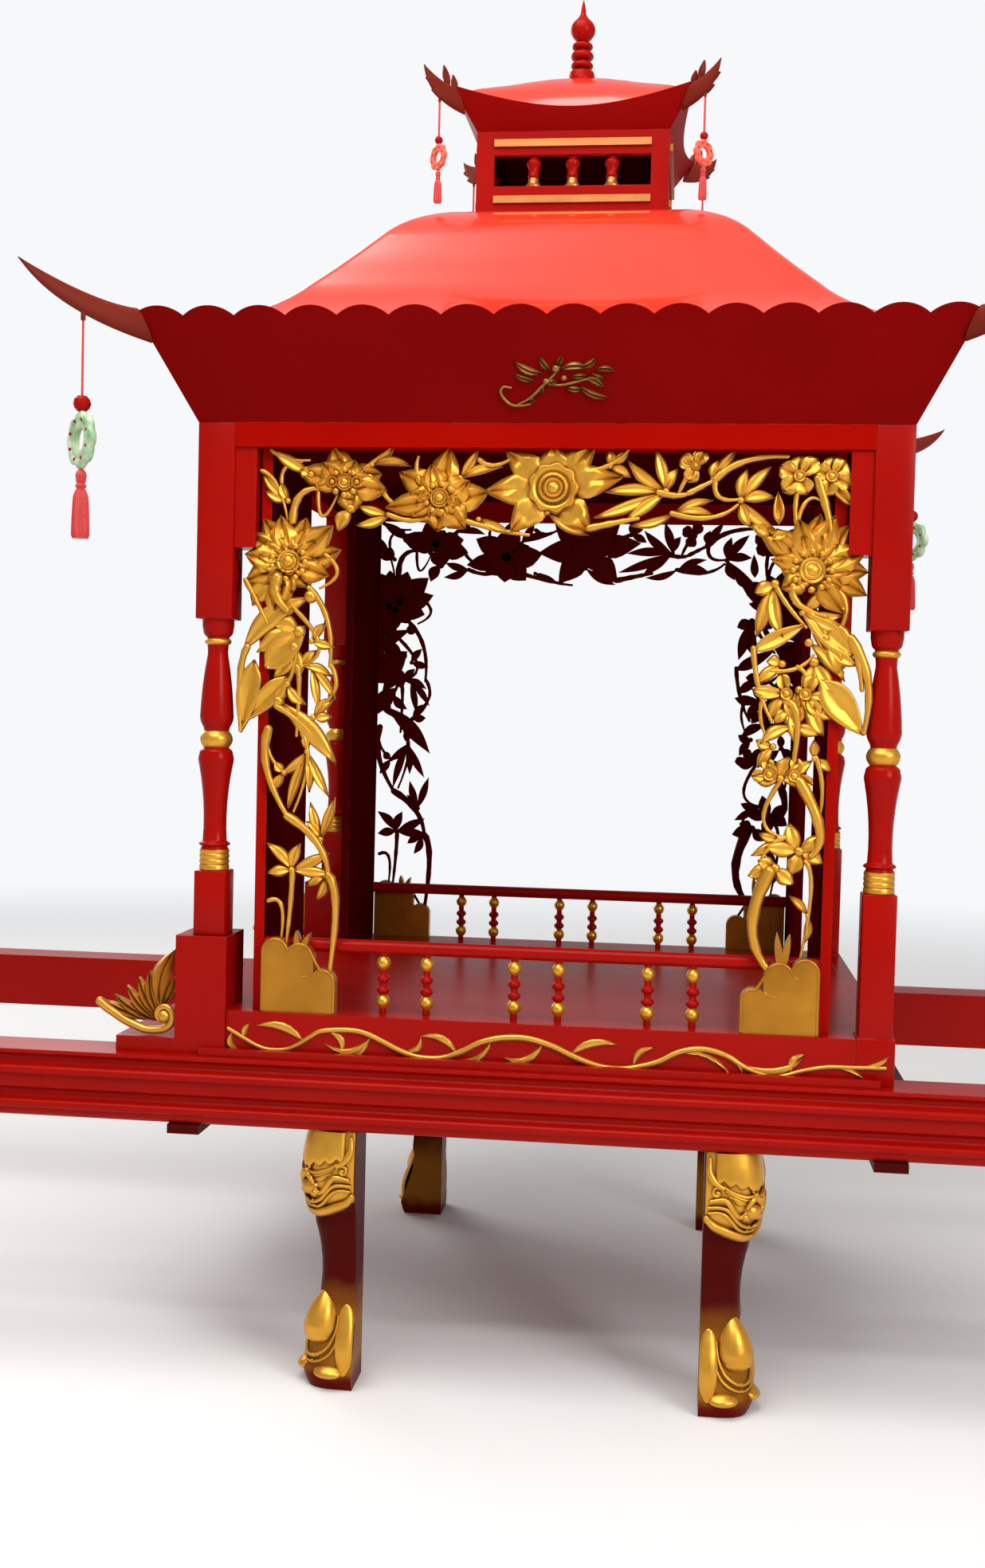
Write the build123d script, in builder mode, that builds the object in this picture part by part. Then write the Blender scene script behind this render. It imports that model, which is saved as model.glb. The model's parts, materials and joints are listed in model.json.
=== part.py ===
from build123d import *
import math
import os

# A carried shrine pavilion: two long moulded rails, a floor and four posts between them,
# a wide hipped roof, a small windowed lantern with its own roof, and four cabriole legs.
# Millimetres. X runs along the rails, -Y is the carved front, +Z is up.
# The origin is on the ground, under the middle of the pavilion.

# Pavilion body
body_width = 900.0
body_depth = 800.0
post_size = 48.0
joint_gap = 0.3

# Carrying rails
rail_length = 3400.0
rail_height = 88.0
rail_thickness = 74.0
rail_bead = 6.0
rail_cove = 7.5
rail_knob_length = 70.0
rail_knob_radius = 41.0

# Legs
leg_height = 336.0
leg_inner_x = 221.0
leg_depth = 78.0
shin_depth = 50.0
foot_depth = 72.0

# Floor, base boards and cross members
base_height = 58.0
base_board_thickness = 22.0
deck_thickness = 18.0
end_beam_width = 42.0
end_beam_lip = 12.0
bearer_width = 60.0
base_moulding_size = 10.0

# Left-hand porch: pedestals, shelf and scroll brackets
pedestal_width = 67.0
pedestal_depth = 85.0
pedestal_height = 154.0
shelf_length = 78.0
shelf_thickness = 20.0
scroll_height = 116.0
scroll_length = 106.0
scroll_thickness = 18.0

# Corner posts: lengths of the stretches above the rail
post_lower = 238.0
post_turned = 326.0
post_upper = 251.0

# Upper frame
lintel_height = 31.0
lintel_thickness = 40.0
shoulder_gap = 4.0
shoulder_height = 128.0
ceiling_thickness = 10.0

# Inner boards and carved fronts
opening_half = 357.0
jamb_thickness = 13.0
jamb_depth = 225.0
front_inset = 20.0
carving_thickness = 16.0
rock_height = 97.0

# Balustrades
handrail_height = 86.0
handrail_diameter = 18.0
baluster_pitch = 57.0
baluster_radius = 8.0

# Main eaves boards
eaves_height = 131.0
eaves_flare = 68.0
eaves_thickness = 12.0
scallop_pitch = 64.0
scallop_rise = 11.0
horn_length = 150.0
horn_thickness = 12.0

# Main roof
roof_rise = 228.0
roof_shell = 14.0
roof_drop = 18.0

# Lantern on the roof, its eaves and its roof
lantern_half = 135.0
lantern_height = 112.0
lantern_wall = 12.0
window_half = 110.0
window_height = 43.0
window_sill = 36.0
cap_eaves_height = 54.0
cap_eaves_flare = 34.0
cap_eaves_thickness = 7.0
cap_eaves_sag = 38.0
cap_horn_length = 46.0
cap_roof_rise = 112.0
finial_height = 124.0

# Hanging ornaments
pendant_cord_diameter = 3.0
pendant_cord_length = 90.0
pendant_bead_radius = 11.0
pendant_ring_radius = 36.0
pendant_tassel_length = 84.0
pendant_tassel_radius = 11.0
small_pendant = 0.52

# Levels above the ground
rail_top = leg_height + rail_height
floor_top = rail_top + base_height
post_top = rail_top + post_lower + post_turned + post_upper
lintel_bottom = post_top - lintel_height
eaves_top = post_top + eaves_height
roof_bottom = eaves_top - roof_drop
roof_top = roof_bottom + roof_rise
lantern_top = roof_top + lantern_height
pedestal_top = rail_top + pedestal_height

# Places across the plan
half_width = body_width / 2
half_depth = body_depth / 2
rail_inner = half_depth - post_size
rail_outer = rail_inner + rail_thickness
rail_middle = (rail_inner + rail_outer) / 2
front_plane = half_depth - front_inset
pedestal_inner_x = half_width - post_size - 2
shoulder_width = half_width - post_size - opening_half - jamb_thickness - shoulder_gap

os.makedirs("parts", exist_ok=True)


def save(builder, label):
    builder.part.label = label
    export_step(builder.part, f"parts/{label}.step")


def rail_section():
    """Section of a rail: flat inside, two beads and two coves outside; x is outwards."""
    face = rail_thickness
    low_bead = 2 * rail_bead
    high_bead = rail_height - 5 - 2 * rail_cove - 2 * rail_bead
    with BuildLine() as outline:
        Line((0, 0), (face - 10, 0))
        ThreePointArc((face - 10, 0), (face - 3, 3.5), (face, low_bead))
        cove_start = low_bead + 2 * rail_bead
        ThreePointArc((face, low_bead), (face + rail_bead, low_bead + rail_bead), (face, cove_start))
        cove_end = cove_start + 2 * rail_cove
        ThreePointArc((face, cove_start), (face - rail_cove, cove_start + rail_cove), (face, cove_end))
        Line((face, cove_end), (face, high_bead))
        cove_start = high_bead + 2 * rail_bead
        ThreePointArc((face, high_bead), (face + rail_bead + 2, high_bead + rail_bead), (face, cove_start))
        cove_end = cove_start + 2 * rail_cove
        ThreePointArc((face, cove_start), (face - rail_cove, cove_start + rail_cove), (face, cove_end))
        Line((face, cove_end), (face, rail_height))
        Line((face, rail_height), (0, rail_height))
        Line((0, rail_height), (0, 0))
    return outline.line


# Two carrying rails, their moulded faces outwards
for label, side in (("rail_front", -1), ("rail_rear", 1)):
    section_start = (-side * rail_length / 2, side * rail_inner, leg_height)
    section_plane = Plane(origin=section_start, x_dir=(0, side, 0), z_dir=(side, 0, 0))
    with BuildPart() as rail:
        with BuildSketch(section_plane):
            add(rail_section())
            make_face()
        extrude(amount=rail_length)
    save(rail, label)

# Turned bud at each end of each rail
with BuildPart() as rail_knobs:
    for end in (-1, 1):
        for side in (-1, 1):
            foot = (end * rail_length / 2, side * rail_middle, leg_height + rail_height / 2)
            knob_plane = Plane(origin=foot, x_dir=(end, 0, 0), z_dir=(0, -end, 0))
            radius = rail_knob_radius
            length = rail_knob_length
            with BuildSketch(knob_plane):
                with BuildLine():
                    Polyline((0, 0), (0, radius), (8, radius), (12, radius - 9))
                    bud_end = (0.85 * length, 0.45 * radius)
                    ThreePointArc((12, radius - 9), (0.5 * length, radius - 3), bud_end)
                    Polyline(bud_end, (length, 0), (0, 0))
                make_face()
            revolve(axis=Axis(foot, (end, 0, 0)))
save(rail_knobs, "rail_knobs")

# End beams join the rails, their thin lips showing under them
with BuildPart() as end_beams:
    for end in (-1, 1):
        beam_x = end * (half_width - post_size / 2 + end_beam_width / 2)
        with BuildSketch(Plane.XY.offset(leg_height)):
            with Locations((beam_x, 0)):
                Rectangle(end_beam_width, 2 * rail_inner)
        extrude(amount=rail_height)
        with BuildSketch(Plane.XY.offset(leg_height - end_beam_lip)):
            with Locations((beam_x, 0)):
                Rectangle(end_beam_width, 2 * rail_outer)
        extrude(amount=end_beam_lip)
save(end_beams, "end_beams")

# Bearers between the rails carry the floor over the legs
bearer_bottom = leg_height + 16
with BuildPart() as leg_bearers:
    for end in (-1, 1):
        with BuildSketch(Plane.XY.offset(bearer_bottom)):
            with Locations((end * (leg_inner_x + leg_depth / 2), 0)):
                Rectangle(bearer_width, 2 * rail_inner)
        extrude(amount=floor_top - deck_thickness - bearer_bottom)
save(leg_bearers, "leg_bearers")


def leg_outline():
    """Outline of a leg, the same from both sides: x is outwards from its inner corner."""
    top = leg_height
    with BuildLine() as outline:
        Polyline((0, 0), (0, top), (leg_depth - 8, top))
        ThreePointArc((leg_depth - 8, top), (leg_depth, 0.8 * top), (leg_depth - 16, 0.655 * top))
        ThreePointArc((leg_depth - 16, 0.655 * top), (shin_depth, 0.42 * top), (foot_depth - 6, 0.2 * top))
        ThreePointArc((foot_depth - 6, 0.2 * top), (foot_depth, 0.09 * top), (foot_depth - 8, 0))
        Line((foot_depth - 8, 0), (0, 0))
    return outline.line


# Cabriole legs, each sawn from a square block by the same outline from two sides
leg_places = (
    ("leg_front_left", -1, -1),
    ("leg_front_right", 1, -1),
    ("leg_rear_left", -1, 1),
    ("leg_rear_right", 1, 1),
)
for label, end, side in leg_places:
    corner = (end * leg_inner_x, side * rail_inner, 0)
    with BuildPart() as leg:
        with BuildSketch(Plane(origin=corner, x_dir=(end, 0, 0), z_dir=(0, -end, 0))):
            add(leg_outline())
            make_face()
        extrude(amount=-end * side * leg_depth)
        with BuildSketch(Plane(origin=corner, x_dir=(0, side, 0), z_dir=(side, 0, 0))):
            add(leg_outline())
            make_face()
        extrude(amount=end * side * leg_depth, mode=Mode.INTERSECT)
    save(leg, label)

# Floor boards, cut round the posts and the two pedestals
deck_half_x = half_width - base_board_thickness
deck_half_y = half_depth - base_board_thickness
with BuildPart() as deck:
    with BuildSketch(Plane.XY.offset(floor_top - deck_thickness)):
        Rectangle(2 * deck_half_x, 2 * deck_half_y)
        for side in (-1, 1):
            with Locations((half_width, side * half_depth)):
                Rectangle(2 * post_size, 2 * post_size, mode=Mode.SUBTRACT)
            with Locations((-half_width, side * half_depth)):
                Rectangle(2 * (half_width - pedestal_inner_x), 2 * (pedestal_depth - 5), mode=Mode.SUBTRACT)
    extrude(amount=deck_thickness)
save(deck, "deck")

# Base boards between the feet of the posts
front_board_middle = (half_width - post_size - pedestal_inner_x) / 2
front_board_length = half_width - post_size + pedestal_inner_x
with BuildPart() as base_boards:
    with BuildSketch(Plane.XY.offset(rail_top)):
        for side in (-1, 1):
            with Locations((front_board_middle, side * (half_depth - base_board_thickness / 2))):
                Rectangle(front_board_length, base_board_thickness)
        with Locations((half_width - base_board_thickness / 2, 0)):
            Rectangle(base_board_thickness, 2 * rail_inner)
        with Locations((-half_width + base_board_thickness / 2, 0)):
            Rectangle(base_board_thickness, 2 * (half_depth + 5 - pedestal_depth))
    extrude(amount=base_height)
save(base_boards, "base_boards")

# Slim moulding on the rail, in front of the base boards
with BuildPart() as base_mouldings:
    with BuildSketch(Plane.XY.offset(rail_top)):
        for side in (-1, 1):
            with Locations((0, side * (half_depth + 5 + base_moulding_size / 2))):
                Rectangle(body_width - 36, base_moulding_size)
    extrude(amount=base_moulding_size)
save(base_mouldings, "base_mouldings")

# Pedestals under the two left posts
pedestal_x = -(pedestal_inner_x + pedestal_width / 2)
with BuildPart() as pedestals:
    with BuildSketch(Plane.XY.offset(rail_top)):
        for side in (-1, 1):
            with Locations((pedestal_x, side * (half_depth + 5 - pedestal_depth / 2))):
                Rectangle(pedestal_width, pedestal_depth)
    extrude(amount=pedestal_height)
save(pedestals, "pedestals")

# Porch shelf across the rails, left of the pedestals
shelf_right = pedestal_x - pedestal_width / 2
with BuildPart() as end_shelf:
    with BuildSketch(Plane.XY.offset(rail_top)):
        with Locations((shelf_right - shelf_length / 2, 0)):
            Rectangle(shelf_length, body_depth + 10)
    extrude(amount=shelf_thickness)
save(end_shelf, "end_shelf")


def turned_outline(bottom):
    """Half outline of the turned stretch of a post, from its lower to its upper square."""

    def at(inset, share):
        return (post_size / 2 - inset, bottom + share * post_turned)

    with BuildLine() as outline:
        Polyline((0, bottom), at(3, 0), at(4, 0.075), at(6, 0.085), at(2, 0.1), at(6, 0.115))
        ThreePointArc(at(6, 0.115), at(7, 0.26), at(2, 0.42))
        Polyline(at(2, 0.42), at(3, 0.475), at(7, 0.5))
        ThreePointArc(at(7, 0.5), at(2, 0.53), at(7, 0.56))
        Polyline(at(7, 0.56), at(4, 0.6), at(3, 0.64))
        ThreePointArc(at(3, 0.64), at(8, 0.78), at(9, 0.89))
        Polyline(at(9, 0.89), at(4, 0.91), at(8, 0.93), at(3, 0.97), at(3, 1), (0, bottom + post_turned))
        Line((0, bottom + post_turned), (0, bottom))
    return outline.line


# Corner posts: square, turned, square; the left ones stand on the pedestals
post_places = (
    ("post_front_left", -1, -1, pedestal_top),
    ("post_front_right", 1, -1, rail_top),
    ("post_rear_left", -1, 1, pedestal_top),
    ("post_rear_right", 1, 1, rail_top),
)
turned_bottom = rail_top + post_lower
for label, end, side, foot_level in post_places:
    axis_x = end * (half_width - post_size / 2)
    axis_y = side * (half_depth - post_size / 2)
    with BuildPart() as post:
        with BuildSketch(Plane.XY.offset(foot_level)):
            with Locations((axis_x, axis_y)):
                Rectangle(post_size, post_size)
        extrude(amount=turned_bottom - foot_level)
        with BuildSketch(Plane(origin=(axis_x, axis_y, 0), x_dir=(1, 0, 0), z_dir=(0, -1, 0))):
            add(turned_outline(turned_bottom))
            make_face()
        revolve(axis=Axis((axis_x, axis_y, 0), (0, 0, 1)))
        with BuildSketch(Plane.XY.offset(turned_bottom + post_turned)):
            with Locations((axis_x, axis_y)):
                Rectangle(post_size, post_size)
        extrude(amount=post_upper)
    save(post, label)

# Lintels between the tops of the posts
with BuildPart() as lintels:
    with BuildSketch(Plane.XY.offset(lintel_bottom)):
        for side in (-1, 1):
            with Locations((0, side * (half_depth - lintel_thickness / 2))):
                Rectangle(body_width - 2 * post_size, lintel_thickness)
            with Locations((side * (half_width - lintel_thickness / 2), 0)):
                Rectangle(lintel_thickness, body_depth - 2 * post_size)
    extrude(amount=lintel_height)
save(lintels, "lintels")

# Short planks that narrow the upper corners of the front and rear openings
with BuildPart() as shoulder_planks:
    with BuildSketch(Plane.XY.offset(lintel_bottom - shoulder_height)):
        for end in (-1, 1):
            for side in (-1, 1):
                plank_x = end * (half_width - post_size - shoulder_width / 2)
                with Locations((plank_x, side * (half_depth - post_size / 2))):
                    Rectangle(shoulder_width, post_size - 8)
    extrude(amount=shoulder_height)
save(shoulder_planks, "shoulder_planks")

# Inner boards beside the openings, from the floor to the lintels
with BuildPart() as jamb_boards:
    with BuildSketch(Plane.XY.offset(floor_top)):
        for end in (-1, 1):
            for side in (-1, 1):
                board_x = end * (opening_half + jamb_thickness / 2)
                with Locations((board_x, side * (front_plane - jamb_depth / 2))):
                    Rectangle(jamb_thickness, jamb_depth)
    extrude(amount=lintel_bottom - floor_top)
save(jamb_boards, "jamb_boards")


def front_face(side):
    """Upright plane of the carved front or rear, its y upwards and its x as seen from the front."""
    return Plane(origin=(0, side * front_plane, 0), x_dir=(1, 0, 0), z_dir=(0, -1, 0))


def leaf(root, tip, width):
    """Flat pointed leaf from its root to its tip."""
    start = Vector(*root)
    along = Vector(*tip) - start
    across = Vector(-along.Y, along.X).normalized() * (width / 2)
    middle = start + along * 0.5
    with BuildSketch(mode=Mode.PRIVATE) as blade:
        with BuildLine():
            ThreePointArc(start, middle + across, start + along)
            ThreePointArc(start + along, middle - across, start)
        make_face()
    return blade.sketch


def stem(start, bend, finish, width):
    """Flat stem along an arc, round at both ends."""
    with BuildLine(mode=Mode.PRIVATE):
        course = ThreePointArc(start, bend, finish)
    with BuildSketch(mode=Mode.PRIVATE) as rod:
        SlotArc(course, width)
    return rod.sketch


def spray(root, width, tips):
    """Flat leaves that fan out from one knuckle."""
    with BuildSketch(mode=Mode.PRIVATE) as fan:
        add([leaf(root, tip, width) for tip in tips])
        with Locations(root):
            Circle(0.4 * width)
    return fan.sketch


def petal(root, tip, width):
    """Flat petal, pointed at its root and rounded at its tip."""
    bulge = Vector(*root) + (Vector(*tip) - Vector(*root)) * 0.72
    with BuildSketch(mode=Mode.PRIVATE) as blade:
        add(leaf(root, tip, width))
        with Locations(bulge):
            Circle(0.4 * width)
    return blade.sketch


def flower(middle, eye, petal_width, tips):
    """Flat flower: a round eye and petals that start inside it."""
    with BuildSketch(mode=Mode.PRIVATE) as bloom:
        add([leaf(middle, tip, petal_width) for tip in tips])
        with Locations(middle):
            Circle(eye)
    return bloom.sketch


# Cloud-shaped rocks at the foot of each carved leg, with a pair of shoots on each heap
rock_lobes = (
    # from the inner board, radius, share of the height
    (19, 18, 1.0),
    (51, 19, 0.94),
    (82, 17, 0.6),
)
rock_shoots = (
    # root, width, tips: x from the inner board towards the middle, y up from the rock's top
    (-1, (50, -24), 8, ((46, 9), (64, 7))),
    (1, (50, -24), 9, ((55, 31), (39, 29))),
)


def rock_shape(margin):
    """Two heaps of rounded rock, grown by a margin, in the sketch that is open."""
    for end in (-1, 1):
        for inset, radius, share in rock_lobes:
            lobe_x = end * (opening_half - inset)
            lobe_top = share * (rock_height - joint_gap) - radius
            with Locations((lobe_x, floor_top + lobe_top)):
                Circle(radius + margin)
            with Locations((lobe_x, floor_top + lobe_top / 2)):
                Rectangle(2 * (radius + margin), lobe_top)
    for end, root, width, tips in rock_shoots:
        points = [(end * (opening_half - x), floor_top + rock_height + y) for x, y in (root, *tips)]
        add(spray(points[0], width + 2 * margin, points[1:]))


with BuildPart() as rocks:
    for side in (-1, 1):
        with BuildSketch(front_face(side)):
            rock_shape(0)
        extrude(amount=-side * carving_thickness)
save(rocks, "rocks")


# The carving is drawn for this opening, seen from the front, with heights above the ground
drawn_half = 357.0
drawn_floor = 482.0
drawn_lintel = 1208.0


def carved(point):
    """A point of the drawing, spread over the real opening."""
    across, height = point
    rise = (height - drawn_floor) / (drawn_lintel - drawn_floor)
    return (across * opening_half / drawn_half, floor_top + rise * (lintel_bottom - floor_top))


carved_stems = (
    # start, a point on the way, end, width
    ((-327, 1115), (-319, 1147), (-295, 1157), 10),
    ((-295, 1157), (-289, 1122), (-270, 1149), 5),
    ((-357, 1206), (-337, 1195), (-307, 1193), 6),
    ((-343, 1164), (-338, 1184), (-317, 1191), 5),
    ((-370, 1179), (-349, 1161), (-334, 1116), 6),
    ((-237, 1181), (-221, 1194), (-201, 1210), 6),
    ((-211, 1158), (-205, 1146), (-191, 1136), 7),
    ((-203, 1125), (-168, 1118), (-138, 1130), 7),
    ((-163, 1165), (-168, 1182), (-166, 1198), 7),
    ((-88, 1195), (-71, 1188), (-50, 1195), 7),
    ((-112, 1120), (-61, 1107), (-23, 1101), 7),
    ((51, 1182), (78, 1190), (101, 1210), 7),
    ((53, 1110), (84, 1117), (114, 1123), 9),
    ((139, 1156), (162, 1152), (178, 1156), 8),
    ((181, 1184), (171, 1170), (163, 1152), 7),
    ((176, 1155), (195, 1165), (209, 1172), 7),
    ((209, 1172), (244, 1195), (297, 1201), 9),
    ((209, 1172), (214, 1151), (239, 1148), 7),
    ((156, 1130), (203, 1125), (237, 1141), 7),
    ((312, 1167), (308, 1135), (314, 1105), 7),
    ((334, 1174), (346, 1137), (353, 1105), 11),
    ((310, 1115), (321, 1146), (338, 1148), 6),
    ((-345, 1042), (-347, 1022), (-332, 1001), 17),
    ((-304, 1030), (-279, 988), (-275, 930), 8),
    ((-284, 1073), (-268, 1050), (-290, 1030), 6),
    ((-324, 1004), (-290, 957), (-313, 929), 6),
    ((-318, 929), (-315, 905), (-317, 840), 7),
    ((-384, 953), (-393, 915), (-391, 845), 9),
    ((-354, 848), (-355, 796), (-327, 736), 11),
    ((-327, 736), (-287, 703), (-271, 661), 11),
    ((-271, 661), (-261, 619), (-268, 530), 11),
    ((-319, 666), (-321, 617), (-326, 563), 7),
    ((-350, 625), (-332, 617), (-334, 563), 6),
    ((-310, 843), (-302, 803), (-319, 742), 6),
    ((288, 1040), (303, 1017), (326, 991), 7),
    ((286, 936), (316, 940), (336, 957), 6),
    ((317, 942), (328, 929), (326, 906), 6),
    ((262, 964), (270, 915), (287, 874), 7),
    ((304, 899), (318, 879), (316, 825), 11),
    ((381, 978), (403, 925), (400, 862), 12),
    ((323, 800), (350, 742), (341, 707), 14),
    ((290, 686), (271, 615), (294, 560), 16),
    ((300, 799), (281, 750), (308, 729), 6),
    ((308, 729), (284, 710), (280, 682), 6),
    ((334, 700), (342, 657), (328, 560), 6),
)
carved_sprays = (
    # root, width, tips
    ((-305, 1175), 15, ((-357, 1206), (-321, 1182))),
    ((-334, 1141), 12, ((-370, 1180), (-365, 1154), (-343, 1165))),
    ((-252, 1132), 18, ((-269, 1103), (-251, 1149))),
    ((-203, 1125), 12, ((-246, 1111), (-244, 1136))),
    ((-226, 1188), 11, ((-175, 1186), (-199, 1208))),
    ((-112, 1172), 12, ((-90, 1207), (-58, 1187))),
    ((-87, 1120), 11, ((-46, 1103), (-66, 1107))),
    ((0, 1130), 12, ((-38, 1106), (53, 1102))),
    ((77, 1188), 12, ((77, 1210), (104, 1175), (101, 1210))),
    ((148, 1157), 14, ((99, 1196), (134, 1210), (162, 1186), (70, 1156), (56, 1123), (98, 1119))),
    ((158, 1130), 11, ((103, 1115), (207, 1147), (210, 1127))),
    ((206, 1172), 12, ((234, 1210), (212, 1197))),
    ((241, 1147), 14, ((248, 1186), (278, 1190), (283, 1151), (255, 1113), (285, 1112))),
    ((278, 1099), 14, ((254, 1118), (301, 1107))),
    ((-302, 1019), 27, ((-392, 946),)),
    ((-313, 930), 12, ((-272, 916), (-293, 951))),
    ((-300, 930), 11, ((-289, 874), (-267, 887))),
    ((-342, 884), 23, ((-264, 804),)),
    ((-303, 820), 12, ((-337, 789), (-328, 742), (-299, 767), (-273, 762), (-303, 848))),
    ((-283, 707), 12, ((-298, 755), (-265, 762), (-303, 730))),
    ((-320, 666), 14, ((-354, 700), (-310, 701), (-270, 690), (-353, 661), (-268, 663))),
    ((-275, 660), 12, ((-288, 627), (-300, 645))),
    ((286, 1044), 18, ((261, 1033), (265, 977), (298, 978))),
    ((330, 972), 17, ((376, 924),)),
    ((321, 1009), 14, ((343, 1040), (372, 1008))),
    ((304, 908), 15, ((260, 913), (284, 874), (316, 852))),
    ((327, 906), 14, ((349, 858), (362, 900))),
    ((314, 868), 15, ((273, 845), (325, 895), (347, 858))),
    ((300, 802), 17, ((277, 821), (265, 804), (310, 830), (338, 796), (339, 826))),
    ((326, 712), 19, ((312, 748), (353, 734), (356, 697), (316, 682), (284, 716))),
    ((297, 690), 19, ((263, 679), (275, 699), (321, 670))),
    ((339, 632), 10, ((336, 597), (315, 656))),
)
carved_petals = (
    # root, blunt tip, width
    ((-308, 982), (-360, 925), 36),
    ((-391, 842), (-375, 937), 30),
    ((-389, 855), (-329, 917), 26),
    ((327, 996), (261, 960), 19),
    ((318, 1012), (386, 956), 28),
    ((400, 858), (345, 927), 38),
    ((346, 1172), (381, 1141), 13),
    ((286, 1158), (289, 1118), 13),
    ((184, 1189), (165, 1198), 15),
    ((184, 1189), (193, 1207), 15),
    ((184, 1189), (173, 1171), 15),
)
carved_flowers = (
    # middle, radius of the eye, width of a petal, tips of the petals
    (
        (-260, 1165), 19, 25,
        ((-322, 1180), (-291, 1189), (-276, 1211), (-247, 1193), (-213, 1177), (-205, 1155), (-250, 1127)),
    ),
    (
        (-137, 1146), 21, 27,
        ((-191, 1178), (-149, 1188), (-126, 1211), (-99, 1168), (-75, 1155), (-103, 1108), (-140, 1104)),
    ),
    ((-137, 1146), 21, 22, ((-172, 1118), (-207, 1133))),
    (
        (7, 1160), 31, 41,
        ((-55, 1207), (6, 1216), (59, 1212), (94, 1174), (56, 1106), (-46, 1103), (-82, 1155)),
    ),
    ((312, 1177), 13, 19, ((312, 1201), (289, 1188), (294, 1159), (332, 1199))),
    ((351, 1177), 13, 19, ((352, 1200), (377, 1167), (368, 1195), (331, 1182))),
    (
        (-331, 1063), 26, 27,
        ((-366, 1118), (-342, 1122), (-310, 1120), (-274, 1110), (-386, 1098), (-389, 1072)),
    ),
    ((-331, 1063), 26, 24, ((-389, 1036), (-348, 1000), (-304, 1030), (-279, 1046), (-264, 1080))),
    (
        (331, 1061), 28, 27,
        ((279, 1111), (312, 1124), (339, 1132), (357, 1130), (375, 1118), (397, 1090), (400, 1060)),
    ),
    ((331, 1061), 28, 24, ((399, 1031), (372, 1008), (289, 1072), (294, 1038), (263, 1113))),
    ((304, 908), 13, 14, ((262, 911), (314, 879))),
    ((327, 908), 12, 14, ((347, 880),)),
    ((286, 807), 14, 14, ((264, 804),)),
    ((317, 806), 14, 14, ((341, 796),)),
)

# Carved fronts: pierced boards between the inner boards, from the rocks to the lintel
with BuildPart() as openwork_front:
    with BuildSketch(front_face(-1)):
        for start, bend, finish, width in carved_stems:
            add(stem(carved(start), carved(bend), carved(finish), width))
        for root, width, tips in carved_sprays:
            add(spray(carved(root), width, [carved(tip) for tip in tips]))
        for root, tip, width in carved_petals:
            add(petal(carved(root), carved(tip), width))
        for middle, eye, width, tips in carved_flowers:
            add(flower(carved(middle), eye, width, [carved(tip) for tip in tips]))
        with Locations((0, (floor_top + lintel_bottom) / 2)):
            Rectangle(2 * (half_width - post_size) - 2, lintel_bottom - floor_top, mode=Mode.INTERSECT)
        for end in (-1, 1):
            plank_x = end * (half_width - post_size - shoulder_width / 2)
            with Locations((plank_x, lintel_bottom - shoulder_height / 2)):
                Rectangle(shoulder_width + 1, shoulder_height + 1, mode=Mode.SUBTRACT)
        with BuildSketch(Plane.XY, mode=Mode.PRIVATE) as rock_room:
            rock_shape(joint_gap)
        add(rock_room.sketch, mode=Mode.SUBTRACT)
    extrude(amount=carving_thickness)
save(openwork_front, "openwork_front")

with BuildPart() as openwork_rear:
    mirror(openwork_front.part, about=Plane.XZ)
save(openwork_rear, "openwork_rear")


# Scroll brackets on the porch shelf: a curled arm with a fan of leaves against the pedestal
scroll_eye = (18, 19)
scroll_eye_radius = 12.0
scroll_leaves = (
    # tip of the leaf, its width: x away from the pedestal, y up from the shelf
    ((scroll_length, 40), 12),
    ((84, 50), 13),
    ((66, 62), 14),
    ((48, 74), 16),
    ((20, 96), 18),
    ((-4, scroll_height), 26),
)
with BuildPart() as scroll_brackets:
    for side in (-1, 1):
        outer_y = side * (half_depth + 2)
        bracket_foot = (shelf_right, outer_y, rail_top + shelf_thickness)
        with BuildSketch(Plane(origin=bracket_foot, x_dir=(-1, 0, 0), z_dir=(0, 1, 0))):
            add([leaf((24, 14), tip, width) for tip, width in scroll_leaves])
            add(stem((20, 7), (50, 5), (0.85 * scroll_length, 26), 11))
            with Locations(scroll_eye):
                Circle(scroll_eye_radius)
                Circle(0.3 * scroll_eye_radius, mode=Mode.SUBTRACT)
            with Locations((scroll_length / 2, scroll_height / 2)):
                Rectangle(scroll_length + 10, scroll_height, mode=Mode.INTERSECT)
            with Locations((-scroll_length, 0)):
                Rectangle(2 * scroll_length, 4 * scroll_height, mode=Mode.SUBTRACT)
        extrude(amount=-side * scroll_thickness)
save(scroll_brackets, "scroll_brackets")


def baluster_outline(tall, radius):
    """Half outline of a short baluster: ball, two rings and ball."""
    neck = 0.5 * radius
    ring = 0.85 * radius
    half_chord = math.sqrt(radius * radius - neck * neck)
    with BuildLine() as outline:
        lower_ball = 0.19 * tall
        upper_ball = 0.81 * tall
        Polyline((0, 0), (neck, 0), (neck, lower_ball - half_chord))
        ThreePointArc((neck, lower_ball - half_chord), (radius, lower_ball), (neck, lower_ball + half_chord))
        Line((neck, lower_ball + half_chord), (neck, 0.38 * tall))
        for low, high, above in ((0.38, 0.46, 0.54), (0.54, 0.62, upper_ball / tall - half_chord / tall)):
            Polyline((neck, low * tall), (ring, low * tall), (ring, high * tall), (neck, high * tall))
            Line((neck, high * tall), (neck, above * tall))
        ThreePointArc((neck, upper_ball - half_chord), (radius, upper_ball), (neck, upper_ball + half_chord))
        Polyline((neck, upper_ball + half_chord), (neck, tall), (0, tall), (0, 0))
    return outline.line


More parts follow.
